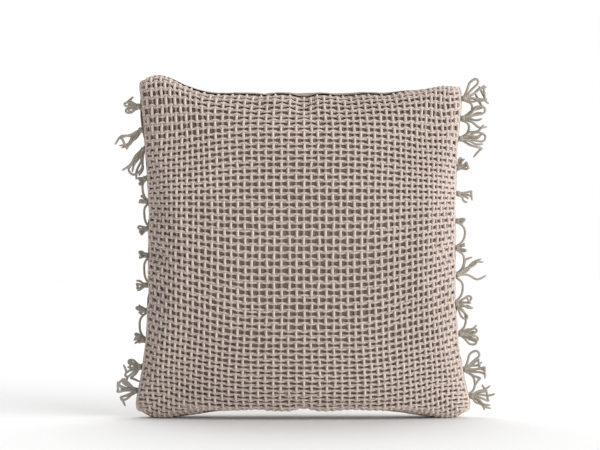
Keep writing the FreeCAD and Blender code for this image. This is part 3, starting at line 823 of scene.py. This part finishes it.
class PILLOW_OT_cover_form(bpy.types.Operator):
    """Blow up the sewn cover and fit it to the cover's outline"""
    bl_idname = "pillow.cover_form"
    bl_label = "Cover form"

    def execute(self, context):
        settings = context.scene.pillow_cover
        mesh = sewn_cover(settings.side)
        points = blow_up(mesh, settings.pressure, settings.frames)
        row, column, face = (layer(mesh, name) for name in ("row", "column", "face"))
        on_rim = (row % CELLS == 0) | (column % CELLS == 0)
        faces = []
        for number in (0, 1):
            grid = np.full((CELLS + 1, CELLS + 1, 3), np.nan)
            chosen = on_rim | (face == number)
            grid[row[chosen], column[chosen]] = points[chosen]
            if np.isnan(grid).any():
                raise RuntimeError("the cover has holes after it was blown up")
            faces.append(grid)
        for name, grid in zip(("front", "back"), calmed(*faces)):
            COVER[name] = fitted(grid, name, settings.fullness, settings.sag)
        return {"FINISHED"}


# How far under the cover's outer face each layer lies, inside the seam and at it (metres).
NET_DEPTH, NET_DEPTH_AT_SEAM = 0.0026, 0.0014
GROUND_DEPTH, GROUND_DEPTH_AT_SEAM = 0.0054, 0.0030
RIM_BLEND = 0.035
SEAM_SINK = 0.0014    # how much deeper the cords go under the back cloth rolled over them


def under_wrap(u, v):
    """1 where the back cloth is rolled over the top or bottom seam, and 0 clear of it."""
    width = np.where(v > 0, wrap_width(u, True), wrap_width(u, False)) * PER_METRE
    return 1 - smooth_step(width + 0.001, width + 0.010, 1 - np.abs(v))


def net_offset(u, v, throw):
    """How far the middle of a cord stands out from the face, thrown over and under the others."""
    near, wrapped = rim_nearness(u, v, RIM_BLEND), under_wrap(u, v)
    depth = NET_DEPTH * (1 - near) + NET_DEPTH_AT_SEAM * near + SEAM_SINK * wrapped
    return throw * (1 - np.maximum(rim_nearness(u, v, 0.02), wrapped)) - depth


class PILLOW_OT_ground_cloth(bpy.types.Operator):
    """Lay the brown ground cloth under the net"""
    bl_idname = "pillow.ground_cloth"
    bl_label = "Ground cloth"

    def execute(self, context):
        settings = context.scene.pillow_cover
        steps = np.linspace(-1, 1, SHEET_COLUMNS + 1)
        u, v = np.meshgrid(steps, steps)
        near = rim_nearness(u, v, RIM_BLEND)
        depth = GROUND_DEPTH * (1 - near) + GROUND_DEPTH_AT_SEAM * near
        cut = (settings.side, settings.side)
        mesh = sheet_mesh("ground_cloth", on_face("front", u, v, -depth), cut)
        material = cloth_material("Ground cloth", settings.ground_colour, 0.0009, 0.9)
        piece = place("ground_cloth", mesh, material, replaces=["front_ground_cloth"])
        thicken(piece, 0.0008)
        return {"FINISHED"}


UPRIGHT_STOPS = np.array((0.0, 0.16, 0.34, 0.5, 0.66, 0.84))   # points of a cord in each row
EDGE_CORDS = (-0.46, -0.10), (-0.90, -0.54)   # extra uprights at the two sides, in columns
UPRIGHT_THROW, CROSS_THROW = 0.0013, 0.0012
PAIR_GAP, PAIR_SPREAD = 0.068, 0.078   # shares of a row, between uprights and added at them
TUCK_AT, TUCK_DEPTH = 0.988, 0.0065    # where the cords' ends lie behind the seam
SLACK_SWELL = 0.10    # how much thicker the cords lie near the sides, where they are slack
UNDER_SHADE = 0.38   # painted shade: how much darker a cord's colour is painted where it passes under


def wander(rng, count, length, size):
    """Slow sideways drift for each cord: a few sines of random size and phase."""
    t = np.linspace(0, 1, length)[None, :]
    total = np.zeros((count, length))
    for waves in (2.3, 5.1, 11.7, 23.0):
        total += rng.normal(size=(count, 1)) * np.sin(
            2 * np.pi * (waves * t + rng.uniform(size=(count, 1)))) / waves ** 0.5
    return total * size


class PILLOW_OT_net(bpy.types.Operator):
    """Weave the front net: thick uprights, and pairs of thinner cords across them"""
    bl_idname = "pillow.net"
    bl_label = "Cord net"

    def execute(self, context):
        settings = context.scene.pillow_net
        rng = np.random.default_rng(5)
        upright_material = cord_material("Upright cord", settings.upright_colour, 0.0075, 0.25)
        cross_material = cord_material("Cross cord", settings.cross_colour, 0.006, 0.25)
        columns, rows = settings.uprights, settings.rows

        stops = (np.arange(rows)[:, None] + UPRIGHT_STOPS[None, :]).ravel()
        stops = np.append(stops, rows)
        v = -1 + 2 * stops / rows
        place_at = np.concatenate((
            EDGE_CORDS[0], np.arange(columns), columns + np.array(EDGE_CORDS[1])))
        u = -1 + 2 * (place_at + 0.5) / columns
        columns = len(u)
        row = np.minimum(stops.astype(int), rows - 1)
        swing = np.sin(np.pi * (stops - row)).clip(0) ** 0.5
        over = np.where((np.arange(columns)[:, None] + row[None, :]) % 2 == 0, 1.0, -1.0)
        drift = wander(rng, columns, len(stops), 0.0008 / (0.5 * context.scene.pillow_cover.side))
        uu, vv = u[:, None] + drift * (1 - np.abs(v)[None, :] ** 8), np.tile(v, (columns, 1))
        lines = on_face("front", uu, vv, net_offset(uu, vv, UPRIGHT_THROW * over * swing))
        low_tuck = on_face("back", u[:, None], np.array([[-TUCK_AT]]), -TUCK_DEPTH)
        top_tuck = on_face("back", u[:, None], np.array([[TUCK_AT]]), -TUCK_DEPTH)
        lines = np.concatenate((low_tuck, lines, top_tuck), axis=1)
        lines[..., 2] = np.maximum(lines[..., 2], settings.upright_diameter / 2 + FLOOR_GAP)
        swell = 1 + wander(rng, columns, lines.shape[1], 0.03) + SLACK_SWELL * u[:, None] ** 2
        # Painted shade: an upright's colour is darkened where it passes under a row of cross cords.
        shade = np.pad(1 - UNDER_SHADE * (1 - over * swing) / 2, ((0, 0), (1, 1)), mode="edge")
        for name, start in (("net_uprights_odd", 0), ("net_uprights_even", 1)):
            mesh = cord_mesh(name, lines[start::2], settings.upright_diameter / 2, 2,
                             swell[start::2], 0.04, 21 + start, shade[start::2])
            place(name, mesh, upright_material,
                  replaces=["front_net"] if start == 0 else ())

        columns = settings.uprights
        steps = np.arange(-0.5, columns - 0.49, 0.25)
        u = -1 + 2 * (steps + 0.5) / columns
        band = np.concatenate(([0.30], np.arange(1, rows), [rows - 0.30]))
        for name, side in (("net_cross_upper", 1), ("net_cross_lower", -1)):
            v = -1 + 2 * (band + side * PAIR_GAP) / rows
            drift = wander(rng, len(band), len(u), 0.00045 / (0.5 * context.scene.pillow_cover.side))
            part = side * 2 * PAIR_SPREAD / rows * (0.5 + 0.5 * np.cos(2 * np.pi * steps))
            uu, vv = np.tile(u, (len(band), 1)), v[:, None] + part + drift
            turn = np.where(np.round(band) % 2 == 0, 1, -1)[:, None]
            wave = -side * np.cos(np.pi * steps)[None, :] * turn
            lines = on_face("front", uu, vv, net_offset(uu, vv, CROSS_THROW * wave))
            left_tuck = on_face("back", np.array([[-TUCK_AT]]), v[:, None], -TUCK_DEPTH)
            right_tuck = on_face("back", np.array([[TUCK_AT]]), v[:, None], -TUCK_DEPTH)
            lines = np.concatenate((left_tuck, lines, right_tuck), axis=1)
            lines[..., 2] = np.maximum(lines[..., 2], settings.cross_diameter / 2 + FLOOR_GAP)
            swell = 1 + wander(rng, len(band), lines.shape[1], 0.04)
            swell = swell + SLACK_SWELL * np.pad(u, 1, mode="edge")[None, :] ** 2
            # Painted shade: a cross cord's colour is darkened where it passes under an upright.
            shade = np.pad(1 - UNDER_SHADE * 0.6 * (1 - wave) / 2, ((0, 0), (1, 1)), mode="edge")
            mesh = cord_mesh(name, lines, settings.cross_diameter / 2, 1, swell, 0.06, 31 + side, shade)
            place(name, mesh, cross_material)
        return {"FINISHED"}


# Tufts of the fringe, top to bottom: height, reach (both mm), rise (degrees), strands,
# fan (degrees), how many of the strands turn back in a loop, how many are bent over sharply,
# and how far a strand that bridges to the next tuft bulges out (mm, 0 where there is none).
LEFT_TUFTS = [
    (404, 23, 4, 6, 70, 2, 3, 0), (376, 42, -36, 6, 36, 0, 1, 0), (352, 46, -64, 5, 30, 1, 0, 0),
    (312, 14, -26, 4, 60, 1, 2, 7), (280, 13, 14, 3, 70, 1, 1, 6), (246, 14, -16, 4, 70, 1, 2, 0),
    (210, 13, 10, 4, 60, 1, 1, 6), (172, 18, -4, 4, 40, 0, 1, 0), (138, 14, 18, 3, 80, 1, 1, 9),
    (100, 17, 4, 4, 60, 1, 1, 0), (66, 24, -10, 7, 74, 2, 3, 0), (34, 29, 10, 8, 84, 3, 3, 0),
]
RIGHT_TUFTS = [
    (414, 36, 12, 6, 66, 1, 2, 15), (388, 36, 10, 6, 44, 1, 1, 13), (362, 36, 4, 6, 60, 1, 1, 0),
    (322, 18, 40, 5, 60, 1, 1, 0), (292, 22, -20, 4, 56, 0, 1, 0), (256, 12, -14, 3, 50, 1, 1, 13),
    (220, 13, 8, 3, 60, 1, 0, 12), (184, 42, 26, 5, 52, 0, 0, 11), (148, 26, -10, 5, 80, 2, 1, 13),
    (108, 25, 4, 7, 56, 3, 1, 0), (62, 33, 8, 7, 84, 1, 3, 12), (28, 33, -10, 7, 80, 0, 2, 0),
]


def seam_point(side, height):
    """Where the side seam is at a height."""
    v = np.linspace(-1, 1, 161)
    edge = surface("front", np.full(v.shape, float(side)), v)
    return np.array([np.interp(height, edge[:, 2], edge[:, axis]) for axis in range(3)])


def tuft_lines(rng, side, tuft, next_height):
    """Strands of one tuft, gathered at the seam: some hang loose, some are bent over sharply,
    and some turn back in a loop."""
    height, reach, rise, strands, fan, loops, bent, bulge = tuft
    height, reach, bulge = height * MM, reach * MM, bulge * MM
    root = seam_point(side, height)
    rise, fan = math.radians(rise), math.radians(fan)
    knot_out = min(0.0038, reach * 0.25)

    def heading(angle, sway=0.0):
        return np.array((side * math.cos(angle), math.sin(sway), math.sin(angle)))

    knot = root + heading(rise) * knot_out
    kinds = ["loop"] * loops + ["bent"] * bent + ["loose"] * (strands - loops - bent)
    rng.shuffle(kinds)
    lines, tapers = [], []
    for number, kind in enumerate(kinds):
        share = (number + 0.5) / strands - 0.5
        angle = rise + fan * share + rng.uniform(-0.12, 0.12)
        sway = rng.uniform(-0.35, 0.35)
        start = seam_point(side, height + 0.010 * share)
        start = start + np.array((-side * 0.0028, rng.uniform(-0.001, 0.001), 0.0))
        inner = knot + np.array((0.0, rng.uniform(-0.0013, 0.0013), share * 0.0040))
        length = (reach - knot_out) * rng.uniform(0.75, 1.06)
        way = heading(angle, sway)
        turn = rng.choice((-1.0, 1.0))
        points = [start, inner]
        if kind == "loop":
            wide = angle + turn * rng.uniform(0.28, 0.55)
            points += [inner + way * length * 0.50, inner + way * length * 0.93,
                       inner + heading((angle + wide) / 2, sway) * length * 1.02,
                       inner + heading(wide, sway) * length * 0.74,
                       inner + heading(wide, sway) * length * 0.34,
                       inner + np.array((-side * 0.001, 0.0008, -0.0006))]
        elif kind == "bent":
            tip = inner + way * length * 0.86
            back = heading(angle + turn * rng.uniform(1.5, 2.2), sway)
            points += [inner + way * length * 0.45 + back * length * 0.05, tip,
                       tip + back * length * 0.12, tip + back * length * rng.uniform(0.42, 0.66)]
        else:
            curl = turn * rng.uniform(0.10, 0.40)
            points += [inner + way * length * 0.35, inner + heading(angle + curl * 0.7, sway) * length * 0.70,
                       inner + heading(angle + curl * 0.2, sway) * length]
        lines.append(smooth_line(points))
        taper = np.ones(len(lines[-1]))
        if kind != "loop":
            taper[-3:] = (0.95, 0.85, 0.55)
        tapers.append(taper)
    if bulge:
        below = seam_point(side, next_height * MM)
        middle = (root + below) / 2 + np.array((side * bulge, 0.002, 0.0))
        inward = np.array((-side * 0.002, 0.0, 0.0))
        points = [root + inward, root * 0.75 + below * 0.25 + np.array((side * bulge * 0.8, -0.001, 0.001)),
                  middle, root * 0.25 + below * 0.75 + np.array((side * bulge * 0.7, 0.001, -0.001)),
                  below + inward]
        lines.append(smooth_line(points))
        tapers.append(np.ones(len(lines[-1])))
    axis = heading(rise)
    across = np.array((0.0, 1.0, 0.0))
    other = np.cross(axis, across)
    turns = np.linspace(0, 2 * math.pi * 1.9, 26)[:, None]
    girth = 0.0017 + 0.00014 * strands
    wrap = (knot + axis * (turns / turns.max() - 0.5) * 0.0030
            + across * np.cos(turns) * girth * 0.9 + other * np.sin(turns) * girth)
    lines.append(wrap)
    tapers.append(np.ones(len(wrap)))
    return lines, tapers


class PILLOW_OT_fringe(bpy.types.Operator):
    """Knot the cord ends into tufts down the left and right seams"""
    bl_idname = "pillow.fringe"
    bl_label = "Knotted fringe"

    def execute(self, context):
        settings = context.scene.pillow_fringe
        rng = random.Random(settings.seed)
        material = cord_material("Fringe cord", settings.colour, 0.006, 0.2)
        for side, name, tufts in ((-1, "left", LEFT_TUFTS), (1, "right", RIGHT_TUFTS)):
            for number, tuft in enumerate(tufts):
                next_height = tufts[min(number + 1, len(tufts) - 1)][0]
                lines, tapers = tuft_lines(rng, side, tuft, next_height)
                for line in lines:
                    line[:, 2] = np.maximum(line[:, 2], settings.diameter / 2 + FLOOR_GAP)
                label = f"{name}_{number + 1:02d}"
                mesh = cord_mesh(f"tuft_{label}", lines, settings.diameter / 2, 1, tapers, 0.10,
                                 100 * (side + 2) + number)
                place(f"tuft_{label}", mesh, material, replaces=[f"fringe_{label}"])
        return {"FINISHED"}


# ---------------------------------------------------------------- the back

HEM = 0.009
FOLD_GAP = 0.0017
BACK_THICKNESS = 0.0008


def zip_edge(u, half):
    """v on the back for each u where the cloth's edge runs along the zip, on one side of it."""
    fine = np.linspace(-1, 0.2, 241)
    result = np.empty(len(u))
    for index, one in enumerate(u):
        points = surface("back", np.full(fine.shape, one), fine) - ZIP_CENTRE
        slot = 1 - smooth_step(ZIP_SLOT_HALF_LENGTH - 0.002, ZIP_SLOT_HALF_LENGTH + 0.006,
                               np.abs(points[:, 0]).mean())
        wanted = half * (ZIP_SLOT_HALF_WIDTH * slot + 0.00015 * (1 - slot))
        result[index] = np.interp(wanted, points @ ZIP_UP * slot + points[:, 2] * (1 - slot), fine)
    return result


PER_METRE = 2 / 0.45   # a step in u or v for each metre of cloth


def wrap_width(u, upper):
    """How far the back cloth rolls over the seam on to the front (metres)."""
    if upper:
        return 0.0085 * (1 - smooth_step(0.45, 0.86, np.abs(u + 0.03))) + 0.0012
    return 0.0060 * (1 - smooth_step(0.18, 0.48, np.abs(u + 0.32))) + 0.0010


def back_panel_points(upper):
    """Rows of points of one back panel, from its hem at the zip to its end on the front."""
    half = 1 if upper else -1
    u = np.linspace(-1, 1, SHEET_COLUMNS + 1)
    edge = zip_edge(u, half)
    rows = []

    def back_row(v, offset):
        near = rim_nearness(u, v, 0.03)
        rows.append(on_face("back", u, v, offset + 0.0007 * near))

    back_row(edge + half * HEM * PER_METRE, -FOLD_GAP)
    back_row(edge + half * 0.0012 * PER_METRE, -FOLD_GAP)
    back_row(edge + half * 0.0001 * PER_METRE, -FOLD_GAP / 2)
    back_row(edge + half * 0.0008 * PER_METRE, 0.0)
    count = 60 if upper else 22
    for share in np.linspace(0, 1, count)[1:]:
        start = edge + half * 0.0008 * PER_METRE
        back_row(start + (half * 0.9999 - start) * share, 0.0)
    width = wrap_width(u, upper) * PER_METRE
    for share in (0.12, 0.35, 0.6, 0.85, 1.0):
        rows.append(on_face("front", u, half * (1 - width * share), 0.0006))
    rows.append(on_face("front", u, half * (1 - width * 1.02), -0.0002))
    rows.append(on_face("front", u, half * (1 - width * 0.5), -0.0006))
    return np.array(rows)


def stitch_lines(upper, stitch):
    """Short raised stitches along the folded edge beside the zip."""
    half = 1 if upper else -1
    lines = []
    u = np.linspace(-0.80, 0.80, 900)
    v = zip_edge(u[::30], half)
    v = np.interp(u, u[::30], v) + half * 0.0034 * PER_METRE
    path = on_face("back", u, v, 0.0)
    out = facing("back", u, v)
    along = np.append(0, np.cumsum(np.linalg.norm(np.diff(path, axis=0), axis=1)))
    gap = stitch * 0.25
    for start in np.arange(0.002, along[-1] - stitch, stitch + gap):
        at = start + stitch * np.array((0.0, 0.2, 0.5, 0.8, 1.0))
        line = np.column_stack([np.interp(at, along, path[:, k]) for k in range(3)])
        lift = np.column_stack([np.interp(at, along, out[:, k]) for k in range(3)])
        lines.append(line + lift * np.array((-0.0002, 0.0001, 0.0002, 0.0001, -0.0002))[:, None])
    return lines


class PILLOW_OT_back(bpy.types.Operator):
    """Sew the two back panels, hemmed along the zip and rolled over the seams"""
    bl_idname = "pillow.back"
    bl_label = "Back panels"

    def execute(self, context):
        settings = context.scene.pillow_cover
        sewing = context.scene.pillow_zip
        cloth = cloth_material("Back cloth", settings.back_colour, 0.0006, 0.6)
        thread = cord_material("Thread", sewing.thread_colour, 0.0008, 0.3)
        for upper, name in ((True, "upper"), (False, "lower")):
            points = back_panel_points(upper)
            spine = points[:, SHEET_COLUMNS // 2]
            height = np.linalg.norm(np.diff(spine, axis=0), axis=1).sum()
            cut = (settings.side, height if upper else -height)
            mesh = sheet_mesh(f"back_{name}", points, cut, upper)
            piece = place(f"back_{name}", mesh, cloth, replaces=[f"back_panel_{name}"])
            thicken(piece, BACK_THICKNESS)
            stitches = cord_mesh(f"topstitch_{name}", stitch_lines(upper, sewing.stitch), 0.00028, 0)
            place(f"topstitch_{name}", stitches, thread)
        return {"FINISHED"}


# ---------------------------------------------------------------- the zip

def coil_line(half, pitch):
    """One row of the coil: a flattened spiral whose turns lie between the other row's."""
    start, end = ZIP_CHAIN
    turns = int((end - start - 0.003) / pitch)
    steps = 10
    t = np.arange(turns * steps + 1) / steps
    angle = 2 * math.pi * t + (math.pi if half < 0 else 0.0)
    x = start + 0.0015 + pitch * t + 0.00012 * np.sin(2 * angle)
    up = half * (0.00190 + 0.00128 * np.cos(angle))
    out = 0.00120 + 0.00075 * np.sin(angle)
    return (ZIP_CENTRE * (0, 1, 1) + np.outer(x, (1, 0, 0)) + np.outer(up, ZIP_UP) + np.outer(out, ZIP_OUT))


def eased_copy(node, width):
    """A CAD node's mesh with its loose triangles joined and its edges eased."""
    mesh = frame["nodes"][node].data.copy()
    bm = bmesh.new()
    bm.from_mesh(mesh)
    bmesh.ops.remove_doubles(bm, verts=bm.verts[:], dist=1e-6)
    bmesh.ops.dissolve_limit(bm, angle_limit=math.radians(4), verts=bm.verts[:], edges=bm.edges[:])
    sharp = [e for e in bm.edges if len(e.link_faces) == 2 and e.calc_face_angle(0.0) > math.radians(35)]
    bmesh.ops.bevel(bm, geom=sharp, offset=width, segments=2, affect="EDGES", profile=0.5,
                    material=-1, clamp_overlap=True)
    bm.to_mesh(mesh)
    bm.free()
    return mesh


class PILLOW_OT_zip(bpy.types.Operator):
    """Fit the zip: coils, slider and pull, and finishes for the tapes and stops"""
    bl_idname = "pillow.zip"
    bl_label = "Zip"

    def execute(self, context):
        settings = context.scene.pillow_zip
        tape = tape_material("Zip tape", settings.tape_colour)
        nylon = nylon_material("Zip coil", settings.coil_colour)
        metal = metal_material("Zip metal", settings.metal_colour)
        for name, half in (("upper", 1), ("lower", -1)):
            dress(f"zip_tape_{name}", tape)
            mesh = cord_mesh(f"coil_{name}", [coil_line(half, settings.coil_pitch)], 0.00033, 1)
            place(f"coil_{name}", mesh, nylon, replaces=[f"zip_coil_{name}"])
        for node in ("zip_top_stops", "zip_bottom_stop"):
            dress(node, metal)
        for name, node, body in (("slider", "zip_slider", "slider"), ("pull", "zip_pull", "pull_tab")):
            place(name, eased_copy(node, 0.00018), metal,
                  body=body, replaces=[node], smooth=False)
        return {"FINISHED"}


# ---------------------------------------------------------------- the insert

def inner_form(name, side, inset):
    """The cover's whole closed form, drawn in by an inset on every side."""
    mesh = sewn_cover(side)
    row, column, face = (layer(mesh, label) for label in ("row", "column", "face"))
    u, v = 2 * column / CELLS - 1, 2 * row / CELLS - 1
    points = np.where((face == 0)[:, None], surface("front", u, v), surface("back", u, v))
    mesh.vertices.foreach_set("co", points.ravel())
    bm = bmesh.new()
    bm.from_mesh(mesh)
    rim = [v for v in bm.verts if v[bm.verts.layers.int["row"]] % CELLS == 0
           or v[bm.verts.layers.int["column"]] % CELLS == 0]
    every_way = {"use_axis_x": True, "use_axis_y": True, "use_axis_z": True}
    bmesh.ops.smooth_vert(bm, verts=rim, factor=0.5, **every_way)
    for _ in range(4):
        bm.normal_update()
        for vert in bm.verts:
            vert.co -= vert.normal * inset / 4
        bmesh.ops.smooth_vert(bm, verts=bm.verts[:], factor=0.25, **every_way)
    bm.to_mesh(mesh)
    bm.free()
    mesh.name = name
    return mesh


class PILLOW_OT_insert(bpy.types.Operator):
    """Fill the cover with its insert: a plain casing and the fibre in it"""
    bl_idname = "pillow.insert"
    bl_label = "Insert"

    def execute(self, context):
        settings = context.scene.pillow_insert
        side = context.scene.pillow_cover.side
        casing = place("insert_casing", inner_form("insert_casing", side, settings.casing_inset),
                       tape_material("Insert casing", settings.casing_colour),
                       replaces=["insert_casing_front", "insert_casing_back"])
        filling = place("insert_fibre", inner_form("insert_fibre", side, settings.filling_inset),
                        filling_material("Insert filling", settings.filling_colour),
                        replaces=["insert_filling"])
        return {"FINISHED"}


class PILLOW_OT_declare_cloth(bpy.types.Operator):
    """Gather the net's cords and the fringe's tufts; nothing is declared with them"""
    bl_idname = "pillow.declare_cloth"
    bl_label = "Declare the cloth"

    def execute(self, context):
        pieces = bpy.data.objects
        on_ground = [pieces[n] for n in (
            "net_uprights_odd", "net_uprights_even", "net_cross_upper", "net_cross_lower")]
        on_ground += [o for o in pieces if o.name.startswith("tuft_")]
        return {"FINISHED"}


# ---------------------------------------------------------------- the stage

def soft_light(name, towards, strength, spread_degrees):
    """A very wide plain light from one direction."""
    data = bpy.data.lights.new(name, "SUN")
    data.energy = strength
    data.angle = math.radians(spread_degrees)
    light = bpy.data.objects.new(name, data)
    light.rotation_euler = Vector(towards).to_track_quat("Z", "Y").to_euler()
    bpy.context.scene.collection.objects.link(light)


class PILLOW_OT_stage(bpy.types.Operator):
    """Lay the floor, set the lights and place the camera"""
    bl_idname = "pillow.stage"
    bl_label = "Stage"

    def execute(self, context):
        scene = context.scene
        settings = scene.pillow_stage
        bm = bmesh.new()
        bmesh.ops.create_grid(bm, x_segments=2, y_segments=2, size=6.0)
        mesh = bpy.data.meshes.new("floor")
        bm.to_mesh(mesh)
        bm.free()
        floor = bpy.data.objects.new("floor", mesh)
        scene.collection.objects.link(floor)
        material, tree, shader, where = new_material("Floor")
        mottle = use_group(tree, "Mottle", Vector=where.outputs["Object"], Patch=2.0)
        tree.links.new(shaded(tree, settings.floor_colour, spread(
            tree, mottle.outputs["Patches"], 0.3, 0.7, 0.995, 1.005)), shader.inputs["Base Color"])
        shader.inputs["Roughness"].default_value = 0.9
        shader.inputs["Specular IOR Level"].default_value = 0.1
        mesh.materials.append(material)

        world = bpy.data.worlds.new("Studio")
        world.use_nodes = True
        nodes = world.node_tree
        ambient = nodes.nodes["Background"]
        ambient.inputs["Color"].default_value = (1.0, 1.0, 1.0, 1.0)
        ambient.inputs["Strength"].default_value = 0.29
        backdrop = add_node(nodes, "ShaderNodeBackground", {"Color": (1.0, 1.0, 1.0, 1.0), "Strength": 1.0})
        seen = add_node(nodes, "ShaderNodeLightPath")
        both = add_node(nodes, "ShaderNodeMixShader", {
            0: seen.outputs["Is Camera Ray"], 1: ambient.outputs[0], 2: backdrop.outputs[0]})
        nodes.links.new(both.outputs[0], nodes.nodes["World Output"].inputs["Surface"])
        scene.world = world
        soft_light("key_light", (0.86, -0.48, 0.20), 3.5, 60.0)
        soft_light("top_light", (0.0, 0.60, 0.80), 1.95, 70.0)
        scene.view_settings.view_transform = "Standard"

        data = bpy.data.cameras.new("camera")
        data.lens = settings.lens
        data.sensor_width = 36.0
        camera = bpy.data.objects.new("camera", data)
        camera.location = (-0.005, -settings.camera_distance, settings.camera_height)
        camera.rotation_euler = (math.radians(90), 0.0, 0.0)
        scene.collection.objects.link(camera)
        scene.camera = camera
        return {"FINISHED"}


class PILLOW_PT_panel(bpy.types.Panel):
    """The pillow's sizes, colours and building steps"""
    bl_idname = "PILLOW_PT_panel"
    bl_label = "Throw Pillow"
    bl_space_type = "VIEW_3D"
    bl_region_type = "UI"
    bl_category = "Pillow"

    def draw(self, context):
        for step in STEPS:
            self.layout.operator(step.bl_idname)
        for name, kind in SETTINGS.items():
            box = self.layout.box()
            for key in kind.__annotations__:
                box.prop(getattr(context.scene, name), key)


STEPS = (
    PILLOW_OT_cover_form, PILLOW_OT_ground_cloth, PILLOW_OT_net, PILLOW_OT_fringe, PILLOW_OT_back,
    PILLOW_OT_zip, PILLOW_OT_insert, PILLOW_OT_declare_cloth, PILLOW_OT_stage,
)


def register():
    for kind in (*SETTINGS.values(), *STEPS, PILLOW_PT_panel):
        bpy.utils.register_class(kind)
    for name, kind in SETTINGS.items():
        setattr(bpy.types.Scene, name, bpy.props.PointerProperty(type=kind))


def unregister():
    for name in SETTINGS:
        delattr(bpy.types.Scene, name)
    for kind in reversed((*SETTINGS.values(), *STEPS, PILLOW_PT_panel)):
        bpy.utils.unregister_class(kind)


def main():
    register()
    for step in STEPS:
        family, action = step.bl_idname.split(".")
        if getattr(getattr(bpy.ops, family), action)() != {"FINISHED"}:
            raise RuntimeError(f"{step.bl_label} did not finish")


if __name__ == "__main__":
    main()
